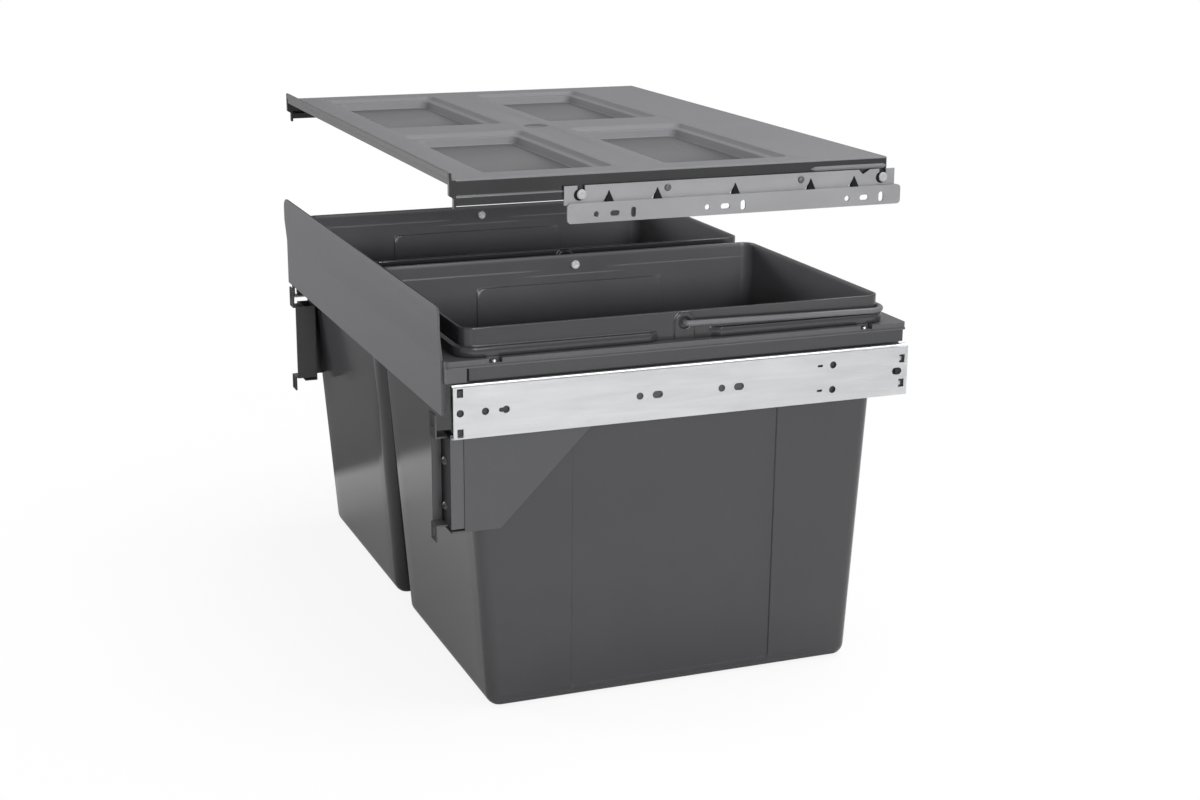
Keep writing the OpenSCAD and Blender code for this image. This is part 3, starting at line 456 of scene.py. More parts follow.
def softened(node: str, finish: Finish, body: str, edge: float, front: Finish | None = None) -> None:
    """Stands a copy with rounded edges in for a CAD node whose shape is right.

    Args:
        node: the CAD node's name.
        finish: the piece's finish.
        body: the body that it rides on.
        edge: width of the rounding in mm.
        front: a darker finish for the faces that look to the front, as painted shade, if any.
    """
    mesh = bpy.data.meshes.new(f"{node}_soft")
    bm = bmesh.new()
    bm.from_mesh(bpy.data.objects[node].data)
    bmesh.ops.remove_doubles(bm, verts=bm.verts, dist=0.003 * MM)
    bmesh.ops.dissolve_limit(bm, angle_limit=math.radians(1.0), verts=bm.verts, edges=bm.edges)
    # Faces that look to the front take the second finish, painted shade
    for face in bm.faces:
        face.material_index = int(front is not None and face.normal.y < -0.5)
    bm.to_mesh(mesh)
    bm.free()
    if "custom_normal" in mesh.attributes:
        mesh.attributes.remove(mesh.attributes["custom_normal"])
    finishes = [finish, front] if front else [finish]
    dress(mesh, mesh.name, finishes, body, [node], crease_deg=35.0, edge=edge)


def arc(centre: Pair, radius: float, start: float, end: float, steps: int) -> list[Pair]:
    """Points on an arc in a plane, with both ends, by angles in degrees."""
    angles = [math.radians(start + (end - start) * k / steps) for k in range(steps + 1)]
    return [(centre[0] + radius * math.cos(a), centre[1] + radius * math.sin(a)) for a in angles]


def turned(x: float, way: int, centre: Pair, profile: Sequence[Pair], steps: int) -> list[np.ndarray]:
    """Rings of a part turned about an axis along X.

    Args:
        x: where its profile starts.
        way: 1 or -1, the way along X in which the profile runs.
        centre: the axis's Y and Z.
        profile: each ring's radius and distance from the start.
        steps: points in a ring.

    Returns:
        The rings.
    """
    rings = []
    for radius, out in profile:
        rings.append(upright(x + way * out, arc(centre, radius, 0, 360, steps)[:-1]))
    return rings


def upright(x: float, outline: Sequence[Pair]) -> np.ndarray:
    """Puts an outline in Y and Z at a place along X."""
    return np.column_stack([np.full(len(outline), x), np.array(outline)])


def at_height(outline: np.ndarray, z: float) -> np.ndarray:
    """Puts an outline in X and Y at a height."""
    return np.column_stack([outline, np.full(len(outline), z)])


def rounded_rect(x0: float, x1: float, y0: float, y1: float, radius: float, steps: int = 6) -> np.ndarray:
    """Outline of a rectangle with round corners, turning anticlockwise from its lower right one."""
    r = radius
    points = arc((x1 - r, y0 + r), r, -90, 0, steps) + arc((x1 - r, y1 - r), r, 0, 90, steps)
    points += arc((x0 + r, y1 - r), r, 90, 180, steps) + arc((x0 + r, y0 + r), r, 180, 270, steps)
    return np.array(points)


def smooth_step(values: np.ndarray, width: float) -> np.ndarray:
    """Falls smoothly from 1 to 0 as values go from -width / 2 to width / 2."""
    t = np.clip(values / width + 0.5, 0, 1)
    return 1 - t * t * (3 - 2 * t)


def round_box(y: np.ndarray, z: np.ndarray, box: Box, radius: float) -> np.ndarray:
    """Distance of each point from a rounded rectangle (y0, y1, z0, z1), below 0 inside it."""
    cy, cz = (box[0] + box[1]) / 2, (box[2] + box[3]) / 2
    dy = np.abs(y - cy) - (box[1] - box[0]) / 2 + radius
    dz = np.abs(z - cz) - (box[3] - box[2]) / 2 + radius
    outside = np.hypot(np.maximum(dy, 0), np.maximum(dz, 0))
    return outside + np.minimum(np.maximum(dy, dz), 0) - radius


# Geometry nodes


class NodeMaker:
    """A Geometry Nodes tree with named inputs that is run once and turned to a plain mesh."""

    def __init__(self, name: str, finish: Finish, inputs: dict[str, tuple[str, object]]) -> None:
        """Opens the tree with a geometry input, the named inputs and a geometry output."""
        self.finish = finish
        self.tree = bpy.data.node_groups.new(f"{name}_{finish.name}", "GeometryNodeTree")
        self.node = partial(add_node, self.tree)
        face = self.tree.interface
        face.new_socket("Geometry", in_out="INPUT", socket_type="NodeSocketGeometry")
        self.keys: dict[str, str] = {}
        for label, (kind, value) in inputs.items():
            socket = face.new_socket(label, in_out="INPUT", socket_type=kind)
            socket.default_value = value
            self.keys[label] = socket.identifier
        face.new_socket("Geometry", in_out="OUTPUT", socket_type="NodeSocketGeometry")
        self.source = self.node("NodeGroupInput")

    def close(self, geometry: bpy.types.NodeSocket) -> None:
        """Ends the tree in Realize Instances and Set Material."""
        real = self.node("GeometryNodeRealizeInstances", {"Geometry": geometry})
        paint = {"Geometry": real.outputs["Geometry"], "Material": self.finish.material()}
        painted = self.node("GeometryNodeSetMaterial", paint)
        self.node("NodeGroupOutput", {0: painted.outputs["Geometry"]})

    def run(
        self, name: str, points: Sequence[Sequence[float]], values: dict[str, object], joined: bool = False
    ) -> bpy.types.Mesh:
        """Runs the tree on points in mm.

        Args:
            name: the new mesh's name.
            points: where the tree starts.
            values: what each named input is set to.
            joined: whether edges join the points in order.

        Returns:
            The plain mesh.
        """
        seed_mesh = bpy.data.meshes.new(f"{name}_points")
        edges = [(i, i + 1) for i in range(len(points) - 1)] if joined else []
        seed_mesh.from_pydata([[c * MM for c in p] for p in points], edges, [])
        holder = add_object(f"{name}_seed", seed_mesh)
        modifier = holder.modifiers.new("make", "NODES")
        modifier.node_group = self.tree
        for label, value in values.items():
            modifier[self.keys[label]] = value
        mesh = baked(holder)
        mesh.name = name
        bpy.data.objects.remove(holder)
        return mesh


class ScrewHeads(NodeMaker):
    """Pan heads with a cross recess, one on each point, all facing one way."""

    def __init__(self, finish: Finish) -> None:
        """Builds the tree: a head less two crossed bars, on every point."""
        inputs = {
            "Radius": ("NodeSocketFloat", 3 * MM),
            "Height": ("NodeSocketFloat", 2 * MM),
            "Turn": ("NodeSocketVector", (0.0, 0.0, 0.0)),
        }
        super().__init__("screw_heads", finish, inputs)
        node, out = self.node, self.source.outputs
        dome = node("GeometryNodeMeshUVSphere", {"Segments": 28, "Rings": 14, "Radius": out["Radius"]})
        share = node("ShaderNodeMath", {0: out["Height"], 1: out["Radius"]}, operation="DIVIDE")
        flat = node("ShaderNodeCombineXYZ", {"X": 1.0, "Y": 1.0, "Z": share.outputs[0]})
        squashed = node("GeometryNodeTransform", {"Geometry": dome.outputs["Mesh"], "Scale": flat.outputs[0]})
        bar_sizes = []
        for label, part in (("Radius", 1.1), ("Radius", 0.24), ("Height", 1.2)):
            size = node("ShaderNodeMath", {0: out[label], 1: part}, operation="MULTIPLY")
            bar_sizes.append(size.outputs[0])
        long, thin, deep = bar_sizes
        whole = {"Mesh 1": squashed.outputs["Geometry"]}
        cut = node("GeometryNodeMeshBoolean", whole, operation="DIFFERENCE")
        for a, b in ((long, thin), (thin, long)):
            size = node("ShaderNodeCombineXYZ", {"X": a, "Y": b, "Z": deep})
            bar = node("GeometryNodeMeshCube", {"Size": size.outputs[0]})
            up = node("ShaderNodeCombineXYZ", {"Z": out["Height"]})
            lift = {"Geometry": bar.outputs["Mesh"], "Translation": up.outputs[0]}
            raised = node("GeometryNodeTransform", lift)
            self.tree.links.new(raised.outputs["Geometry"], cut.inputs["Mesh 2"])
        head = node("GeometryNodeTransform", {"Geometry": cut.outputs["Mesh"], "Rotation": out["Turn"]})
        spread = {"Points": out["Geometry"], "Instance": head.outputs["Geometry"]}
        self.close(node("GeometryNodeInstanceOnPoints", spread).outputs["Instances"])


class RoundRod(NodeMaker):
    """A round rod along a line of edges, closed at both ends."""

    def __init__(self, finish: Finish) -> None:
        """Builds the tree: the edges as a curve with a round profile."""
        inputs = {"Radius": ("NodeSocketFloat", 2.5 * MM), "Facets": ("NodeSocketInt", 20)}
        super().__init__("round_rod", finish, inputs)
        node, out = self.node, self.source.outputs
        line = node("GeometryNodeMeshToCurve", {"Mesh": out["Geometry"]})
        circle = {"Resolution": out["Facets"], "Radius": out["Radius"]}
        ring = node("GeometryNodeCurvePrimitiveCircle", circle)
        sweep = {"Curve": line.outputs["Curve"], "Profile Curve": ring.outputs["Curve"], "Fill Caps": True}
        self.close(node("GeometryNodeCurveToMesh", sweep).outputs["Mesh"])


# Sub-assemblies


@dataclass
class WasteBin:
    """One bin with its bail: a tapered moulding with panels in its long walls, a collar and pivots."""

    side: Side
    centre_x: float = 139.5
    width: float = 255.0
    front: float = -184.0
    rear: float = 184.5
    base_w: float = 243.0
    base_front: float = -162.0
    base_rear: float = 169.5
    height: float = 326.0
    straight_z: float = 297.0
    flange_z: float = 303.0
    flange_top: float = 311.0
    flange_out: float = 4.8
    flange_in: float = 9.0
    wall: float = 2.2
    corner_r: float = 12.0
    foot_r: float = 11.0
    pivot: Pair = (4.25, 316.5)
    bore_r: float = 2.58
    bore_past: float = 6.0
    crease_deg: float = 50.0
    cut_half: float = 23.0
    cut_end: float = 8.5
    arch_r: float = 8.8
    arch_out: float = 1.2
    arch_foot: float = 260.0
    boss_r: float = 4.9
    boss_in: float = 1.7
    panel: Box = (-90.75, 91.25, 8.0, 296.0)
    panel_step: float = 1.4
    panel_r: float = 6.0
    inner_panel_rise: float = 4.0
    inner_step_z: float = 312.5
    inner_step: float = 0.25
    dip_half: float = 38.0
    dip_end: float = 8.0
    dip: float = 5.0
    bail_r: float = 2.5
    bail_bend: float = 3.0
    bail_corner_out: float = 3.7
    bail_gap: float = 0.1
    cap_l: float = 4.0
    cap_grip: float = 3.0

    def plan(self, z: float, inset: float) -> tuple[np.ndarray, np.ndarray, np.ndarray]:
        """The wall's outline at a height, with each point's way outwards.

        Args:
            z: height in mm.
            inset: how far inside the outer wall the outline lies.

        Returns:
            The points in X and Y, their outward directions, and whether each point is in a long wall.
        """
        t = min(max((z - self.foot_r) / (self.straight_z - self.foot_r), 0.0), 1.0)
        half = self.base_w / 2 + (self.width - self.base_w) / 2 * t - inset
        y0 = self.base_front + (self.front - self.base_front) * t + inset
        y1 = self.base_rear + (self.rear - self.base_rear) * t - inset
        r = max(self.corner_r - inset, 0.8)
        stations = self.stations()
        low = np.linspace(y0 + r, stations[0], 5)[:-1]
        high = np.linspace(stations[-1], y1 - r, 5)[1:]
        wall_y = np.concatenate([low, stations, high])
        across = np.linspace(half - r, r - half, 12)
        # Each wall in turn, with its outward direction and the centre of the corner after it
        runs = [
            ([(half, y) for y in wall_y], (1.0, 0.0), (half - r, y1 - r)),
            ([(x, y1) for x in across], (0.0, 1.0), (r - half, y1 - r)),
            ([(-half, y) for y in wall_y[::-1]], (-1.0, 0.0), (r - half, y0 + r)),
            ([(x, y0) for x in across[::-1]], (0.0, -1.0), (half - r, y0 + r)),
        ]
        points, ways = [], []
        for quarter, (row, way, centre) in enumerate(runs):
            points += row
            ways += [way] * len(row)
            for a in np.radians(np.linspace(90 * quarter, 90 * quarter + 90, 10)[1:-1]):
                points.append((centre[0] + r * math.cos(a), centre[1] + r * math.sin(a)))
                ways.append((math.cos(a), math.sin(a)))
        outwards = np.array(ways)
        return np.array(points), outwards, np.abs(outwards[:, 0]) > 0.999

    def stations(self) -> np.ndarray:
        """Places along a long wall, close together where its relief changes."""
        near = np.array([-0.9, -0.4, -0.12, 0.12, 0.4, 0.9])
        lines = [self.panel[0] + near, self.panel[1] + near]
        corners = [self.panel[0] + np.array([3.0, 5.0, 9.0]), self.panel[1] - np.array([9.0, 5.0, 3.0])]
        centre = self.pivot[0]
        ends = self.cut_half + np.array([-1.0, 0.0, 2.0, 4.2, 6.4, 8.5, 9.5])
        cut = [centre - ends, centre + ends]
        arch = [centre + np.linspace(-10.4, 10.4, 31)]
        plain = [np.array([-112.0, -102.0, -70.0, -56.0, -44.0, 52.0, 64.0, 78.0, 100.0, 110.0])]
        return np.unique(np.round(np.concatenate(lines + corners + cut + arch + plain), 4))

    def outer_relief(self, y: np.ndarray, z: float) -> np.ndarray:
        """How far a long wall's outside stands out at a height: sunk panel, arch and pivot recess."""
        level = np.full_like(y, z)
        centre, pivot_z = self.pivot
        sunk = smooth_step(round_box(y, level, self.panel, self.panel_r), 0.8)
        sides = (centre - self.arch_r, centre + self.arch_r, self.arch_foot, pivot_z)
        disc = np.hypot(y - centre, level - pivot_z)
        stem = np.minimum(round_box(y, level, sides, 0.1), disc - self.arch_r)
        arch = smooth_step(stem, 1.0) * (z > self.flange_z - 0.01)
        ring = smooth_step(disc - self.boss_r, 0.8)
        return -self.panel_step * sunk + self.arch_out * arch - self.boss_in * ring

    def inner_relief(self, y: np.ndarray, z: float) -> np.ndarray:
        """How far a long wall's inside stands in at a height: raised panel and the step below the collar."""
        level = np.full_like(y, z)
        panel = (*self.panel[:3], self.panel[3] + self.inner_panel_rise)
        raised = smooth_step(round_box(y, level, panel, self.panel_r), 0.8)
        near = np.clip(1 - (np.abs(y - self.pivot[0]) - self.dip_half) / self.dip_end, 0, 1)
        step = smooth_step(level - (self.inner_step_z - self.dip * near), 1.0)
        return self.panel_step * raised + self.inner_step * step

    def foot_rings(self, depth: float) -> list[np.ndarray]:
        """The rounding at the foot from the base up, at a depth inside the outer skin."""
        rings, radius = [], self.foot_r - depth
        for a in np.radians([0, 15, 30, 45, 60, 75]):
            z = depth + radius * (1 - math.cos(a))
            rings.append(at_height(self.plan(z, depth + radius * (1 - math.sin(a)))[0], z))
        return rings

    def outer_rings(self) -> list[np.ndarray]:
        """The outside from the foot to the rim."""
        rings = self.foot_rings(0.0)
        under, f, g = self.flange_in, self.flange_z, self.flange_top
        levels = [11, 11.8, 12.8, 14.5, 17, 20, 25, *range(40, 280, 24), 282, 286, 290, 293]
        levels += [295.1, 295.6, 295.88, 296.12, 296.4, 296.9, 298, 300, 302.3]
        steps = [(z, self.flange_out + under) for z in levels]
        steps += [(f, under), (f, 1.6), (f + 0.2, 0.9), (f + 0.7, 0.3), (f + 1.4, 0.0)]
        steps += [(g - 0.8, 0.0), (g - 0.25, 0.2), (g, 0.7), (g, 4.4), (g + 0.4, under)]
        steps += [(float(z), under) for z in np.arange(g + 1.1, self.height - 0.9, 0.7)]
        rings += [self.outer_ring(z, back) for z, back in steps]
        for z, back in ((self.height - 0.7, 0.0), (self.height - 0.2, 0.25), (self.height, 0.75)):
            rings.append(at_height(self.plan(z, back)[0], z))
        return rings

    def outer_ring(self, z: float, back: float) -> np.ndarray:
        """One ring of the outside; back is how far the flange's edge is held in from its full width."""
        points, ways, long_wall = self.plan(z, 0.0)
        relief = np.where(long_wall, self.outer_relief(points[:, 1], z), 0.0)
        reach = np.clip((np.abs(points[:, 1] - self.pivot[0]) - self.cut_half) / self.cut_end, 0, 1)
        width = np.where(long_wall, reach * self.flange_out, self.flange_out)
        out = np.maximum(relief, width - back) if back < self.flange_in else relief
        return at_height(points + ways * out[:, None], z)

    def inner_rings(self) -> list[np.ndarray]:
        """The inside from the rim to the floor."""
        rings = []
        for z, inset in ((self.height, self.wall - 0.7), (self.height - 0.25, self.wall - 0.2)):
            rings.append(at_height(self.plan(z, inset)[0], z))
        levels = [325.3, 322, 319, 317.5, 316, 314.4, 313.4, 312.9, 312.5, 312.1, 311.6, 310.4, 309, 308.3]
        levels += [307.9, 307.5, 307.1, 306.5, 305, 302, 300.9, 300.4, 300.12, 299.88, 299.6, 299.1]
        levels += [297.6, 295, 291, 287, *range(272, 30, -24), 22, 17, 14, 12.4]
        for z in levels:
            points, ways, long_wall = self.plan(z, self.wall)
            out = np.where(long_wall, self.inner_relief(points[:, 1], z), 0.0)
            rings.append(at_height(points - ways * out[:, None], z))
        return rings + self.foot_rings(self.wall)[::-1]

    def build_bin(self) -> None:
        """Builds the bin as one closed skin, glossy outside, and duller inside with a lighter colour as
        painted light.
        """
        shell = Shell()
        outer, inner = self.outer_rings(), self.inner_rings()
        gaps = [0] * len(outer) + [1] * (len(inner) - 1)
        centre = np.array([self.side.value * self.centre_x, 0.0, 0.0])
        rings = [r + centre for r in outer + inner]
        shell.loft(rings, finish=gaps)
        # A stacking rim round the base, with the middle of the base a little higher
        for ring, steps, finish in ((rings[0], ((6.0, 0.0), (7.5, 1.2)), 0), (rings[-1], ((5.0, 0.0),), 1)):
            loops = [ring]
            middle = ring.mean(axis=0)
            half = np.abs(ring - middle).max(axis=0)
            for inset, rise in steps:
                scale = np.array([(half[0] - inset) / half[0], (half[1] - inset) / half[1], 1.0])
                loops.append((ring - middle) * scale + middle + np.array([0.0, 0.0, rise]))
            shell.loft(loops, finish=finish)
            shell.fill(loops[-1], finish=finish)
        label = self.side.label
        finishes, nodes = [BIN_OUTSIDE, BIN_INSIDE_PAINTED_LIGHT], [f"bin_{label}"]
        form = {"crease_deg": self.crease_deg}
        self.bore(shell.piece(f"waste_bin_{label}", finishes, f"{label}_bin", nodes, **form))

    def bore(self, piece: bpy.types.Object) -> None:
        """Cuts the two pivot bores through the long walls."""
        mesh = bpy.data.meshes.new("bore")
        bm = bmesh.new()
        radius, depth = self.bore_r * MM, (self.width + 2 * self.bore_past) * MM
        bmesh.ops.create_cone(bm, cap_ends=True, segments=24, radius1=radius, radius2=radius, depth=depth)
        turn = Matrix.Rotation(math.radians(90), 4, "Y")
        place = Matrix.Translation(Vector((self.side.value * self.centre_x, *self.pivot)) * MM)
        bmesh.ops.transform(bm, matrix=place @ turn, verts=bm.verts)
        bm.to_mesh(mesh)
        bm.free()
        mesh.materials.append(BIN_OUTSIDE.material())
        cutter = add_object("bore_cutter", mesh)
        cut = piece.modifiers.new("bore", "BOOLEAN")
        cut.operation, cut.object, cut.solver = "DIFFERENCE", cutter, "EXACT"
        made = baked(piece)
        piece.data = made
        made.shade_smooth()
        made.set_sharp_from_angle(angle=math.radians(self.crease_deg))
        bpy.data.objects.remove(cutter)

    def build_bail(self, rods: RoundRod) -> None:
        """Builds the carrying handle: pins, arms and rear bar of one bent rod."""
        r, bend, corner = self.bail_r, self.bail_bend, self.corner_r + self.bail_corner_out
        arm_x = self.width / 2 + self.arch_out + bend
        arm_l = self.rear + self.arch_out + r - self.pivot[0]
        pin = self.width / 2 - self.wall - self.bail_gap - self.cap_grip
        tilt = math.asin((self.pivot[1] - (self.flange_top + r + self.bail_gap)) / arm_l)
        half: list[Pair] = [(pin, 0.0), (arm_x - bend - 1, 0.0)]
        half += arc((arm_x - bend, bend), bend, -90, 0, 6)
        half += [(arm_x, bend + (arm_l - bend - corner) * k / 8) for k in range(1, 8)]
        half += arc((arm_x - corner, arm_l - corner), corner, 0, 90, 10)
        line = half + [(-x, y) for x, y in reversed(half)]
        c, s = math.cos(tilt), math.sin(tilt)
        x0 = self.side.value * self.centre_x
        points = [(x0 + x, self.pivot[0] + y * c, self.pivot[1] - y * s) for x, y in line]
        label = self.side.label
        mesh = rods.run(f"bail_rod_{label}", points, {"Radius": r * MM, "Facets": 24}, joined=True)
        dress(mesh, mesh.name, [rods.finish], f"{label}_bail", [f"bail_{label}"], 50.0)

    def build_caps(self) -> None:
        """Builds the white caps on the pins' inner ends, each turned with a dimple in its face."""
        profile = [(0.0, 0.35), (1.2, 0.35), (1.7, 0.05), (3.3, 0.0), (3.75, 0.2), (4.0, 0.7), (4.0, 3.7)]
        profile += [(3.8, 4.0), (2.55, 4.0), (2.55, 1.1), (0.0, 1.1)]
        shell = Shell()
        face = self.width / 2 - self.wall - self.bail_gap - self.cap_l
        for way in (-1, 1):
            x = self.side.value * self.centre_x + way * face
            shell.loft(turned(x, way, self.pivot, profile, 24))
        label = self.side.label
        name, body = f"pivot_cap_{label}", f"{label}_bail"
        shell.piece(name, [CAP_PLASTIC], body, [f"bail_caps_{label}"], crease_deg=55.0)


@dataclass
class CoverLid:
    """The cover lid: a grained plate with four polished recesses, skirts and a moulded front strip."""

    half_w: float = 276.8
    ledge_out: float = 1.0
    front: float = -190.0
    rear: float = 179.5
    top: float = 444.0
    ledge_z: float = 431.0
    foot_z: float = 424.0
    rear_foot_z: float = 432.0
    wall: float = 2.5
    corner_r: float = 2.5
    recess_x: Pair = (25.0, 250.0)
    recess_y: Pair = (-160.8, -7.1)
    recess_l: float = 110.0
    recess_r: float = 6.0
    gate: Triple = (3.0, -29.0, 11.5)
    gate_sink: float = 0.35
    bead_y: Pair = (109.0, 179.0)
    bead_in: float = 0.4
    bead_drop: float = 7.3
    bead_r: Pair = (2.4, 2.1)
    bead_end: float = 3.0
    strip_front: float = -195.6
    strip_top: float = 449.3
    strip_end: float = 4.0
    strip_lap: float = 0.1
    pin_x: float = 280.1
    pin_y: Pair = (-90.0, 173.5)
    pin_z: float = 428.0

    def recesses(self) -> list[Box]:
        """The outlines of the four recesses."""
        found = []
        for y in self.recess_y:
            for sign in (1, -1):
                x0, x1 = sorted((sign * self.recess_x[0], sign * self.recess_x[1]))
                found.append((x0, x1, y, y + self.recess_l))
        return found

    def edge_path(self) -> tuple[np.ndarray, np.ndarray, np.ndarray]:
        """The plate's edge on three sides, with each point's way outwards and its lowest height."""
        r, w, y1 = self.corner_r, self.half_w, self.rear
        straight = np.linspace(self.front, y1 - r, 24)
        rows = [((-w, y), (-1.0, 0.0), self.foot_z) for y in straight]
        bends = []
        for a in np.radians([157.5, 135.0, 112.5, 67.5, 45.0, 22.5]):
            way = (math.cos(a), math.sin(a))
            x = math.copysign(w - r, way[0])
            bends.append(((x + r * way[0], y1 - r + r * way[1]), way, self.rear_foot_z))
        rows += bends[:3]
        rows += [((x, y1), (0.0, 1.0), self.rear_foot_z) for x in np.linspace(-w + r, w - r, 20)]
        rows += bends[3:]
        rows += [((w, y), (1.0, 0.0), self.foot_z) for y in straight[::-1]]
        points, ways, lowest = zip(*rows)
        return np.array(points), np.array(ways), np.array(lowest)

    def build_plate(self) -> None:
        """Builds the plate with its recesses and skirts as one sheet that grows inwards."""
        shell = Shell()
        path, ways, lowest = self.edge_path()
        top = at_height(path - ways * 1.2, self.top)
        top[0, 1] = top[-1, 1] = self.front
        holes = [at_height(rounded_rect(*box, self.recess_r), self.top) for box in self.recesses()]
        middle = np.array(self.gate[:2])
        gate = np.array(arc(self.gate[:2], self.gate[2], 0, 360, 32)[:-1])
        holes.append(at_height(gate, self.top))
        shell.fill(top, holes)
        for box in self.recesses():
            self.sink(shell, box)
        floor = at_height((gate - middle) * 0.96 + middle, self.top - self.gate_sink)
        shell.loft([at_height(gate, self.top), floor], finish=1)
        shell.fill(floor, finish=1)
        # How far out and how far down each ring of the skirt lies; close pairs keep the flats flat
        drop = self.top - self.ledge_z
        levels = [(-1.2, 0.0), (-0.5, 0.2), (-0.1, 0.65), (0.0, 1.3), (0.0, 1.9), (0.0, drop - 1.1)]
        levels += [(0.0, drop - 0.5), (0.1, drop - 0.1), (0.8, drop + 0.05), (self.ledge_out, drop + 0.5)]
        levels += [(self.ledge_out, drop + 1.1), (self.ledge_out, self.top - self.foot_z)]
        rings = []
        for out, down in levels:
            reach = np.where(ways[:, 1] > 0.2, min(out, 0.0), out)
            moved = path + ways * reach[:, None]
            rings.append(np.column_stack([moved, np.maximum(self.top - down, lowest)]))
        # The ledge takes the top's lighter grained finish as a painted highlight line, and the faces that
        # look sideways the skirts' painted shade
        shell.loft(rings, closed=False, finish=[0, 0, 0, 2, 2, 2, 2, 0, 0, 2, 2])
        pans = [f"lid_recess_{side.label}_{place}" for side in Side for place in ("front", "rear")]
        finishes = [LID_GRAINED, LID_POLISHED, LID_SKIRT_SHADED]
        shell.piece("lid_plate", finishes, "lid_cover", ["lid", *pans], crease_deg=48.0, wall=self.wall)

    def sink(self, shell: Shell, box: Box) -> None:
        """Sinks one recess: a sloped border, a ledge, a second slope and the polished floor."""
        steps = [(0.0, 0.0), (0.35, 0.12), (0.7, 0.5), (3.0, 3.2), (3.5, 3.5), (8.4, 3.7)]
        steps += [(8.9, 3.95), (9.3, 4.5), (11.6, 9.4), (12.0, 9.85), (12.6, 10.0)]
        rings = []
        for inset, depth in steps:
            inner = (box[0] + inset, box[1] - inset, box[2] + inset, box[3] - inset)
            rings.append(at_height(rounded_rect(*inner, self.recess_r + 0.2 * inset), self.top - depth))
        shell.loft(rings)
        shell.fill(rings[-1], finish=1)

    def build_beads(self) -> None:
        """Builds the rounded bead near the rear of each side skirt."""
        shell = Shell()
        front, rear = self.bead_y
        angles = np.linspace(0, 2 * math.pi, 13)[:-1]
        for side in Side:
            rings = []
            for y in np.linspace(front, rear, 18):
                edge = min(y - front, rear - y)
                swell = math.sqrt(max(0.02, 1 - max(0.0, 1 - edge / self.bead_end) ** 2))
                x = side.value * (self.half_w - self.bead_in + self.bead_r[0] * swell * np.cos(angles))
                z = self.top - self.bead_drop + self.bead_r[1] * swell * np.sin(angles)
                rings.append(np.column_stack([x, np.full_like(x, y), z]))
            shell.solid(rings)
        shell.piece("lid_side_bead", [LID_GRAINED], "lid_cover")

    def build_strip(self) -> None:
        """Builds the front strip: a lip with a fine step along it, between two ends with a stepped front."""
        t, back, front = self.strip_top, self.front, self.strip_front
        w, e = self.half_w + self.ledge_out, self.strip_end
        seat = self.top - self.wall
        # The strip's back where it meets the plate, the same in both profiles
        rise = [(back, self.top), (front + 2.6, self.top), (front + 2.0, self.top + 0.6)]
        rise += [(front + 2.0, t - 0.4), (front + 1.7, t)]
        lip = [(front + 0.3, t), (front, t - 0.3), (front, t - 4.6), (front + 0.5, t - 5.1)]
        lip += [(front + 0.5, t - 9.3), (front + 0.8, t - 9.6), (front + 2.0, t - 9.6)]
        lip += [(front + 2.0, seat), (back, seat), *rise]
        end = [(front + 0.4, t), (front, t - 0.4), (front, t - 16.6), (front + 0.3, t - 17.7)]
        end += [(front + 3.3, t - 19.4), (front + 3.6, t - 20.0), (front + 3.6, t - 27.6)]
        end += [(front + 4.0, t - 28.0), (back - 0.4, t - 28.0), (back, t - 27.6), *rise]
        shell = Shell()
        # The lip runs a little way into both ends
        reach = w - e + self.strip_lap
        for profile, x0, x1, finish in ((lip, -reach, reach, 0), (end, -w, e - w, 1), (end, w - e, w, 1)):
            outline = np.array(profile)
            shrunk = outline + (outline.mean(axis=0) - outline) * 0.03
            places = ((x0, shrunk), (x0 + 0.25, outline), (x1 - 0.25, outline), (x1, shrunk))
            shell.solid([upright(x, points) for x, points in places], finish)
        shell.piece("lid_strip", [LID_STRIP, LID_SKIRT_SHADED], "lid_cover", ["lid_front_strip"], crease_deg=28.0)

    def build_pins(self) -> None:
        """Builds the four headed pins, each with a rounded head and a shallow dimple."""
        profile = [(2.4, -5.2), (2.5, -5.0), (2.5, 0.1), (3.6, 0.15), (3.9, 0.4), (3.9, 1.0), (3.6, 1.5)]
        profile += [(3.0, 1.75), (2.0, 1.85), (1.6, 1.8), (1.2, 1.55), (0.5, 1.45), (0.02, 1.44)]
        shell = Shell()
        for side in Side:
            for y in self.pin_y:
                shell.solid(turned(side.value * self.pin_x, side.value, (y, self.pin_z), profile, 28))
        shell.piece("lid_pin_heads", [PIN_PLASTIC], "lid_cover", ["lid_pins"], crease_deg=50.0)

    def build(self) -> None:
        """Builds the lid's pieces."""
        self.build_plate()
        self.build_beads()
        self.build_strip()
        self.build_pins()


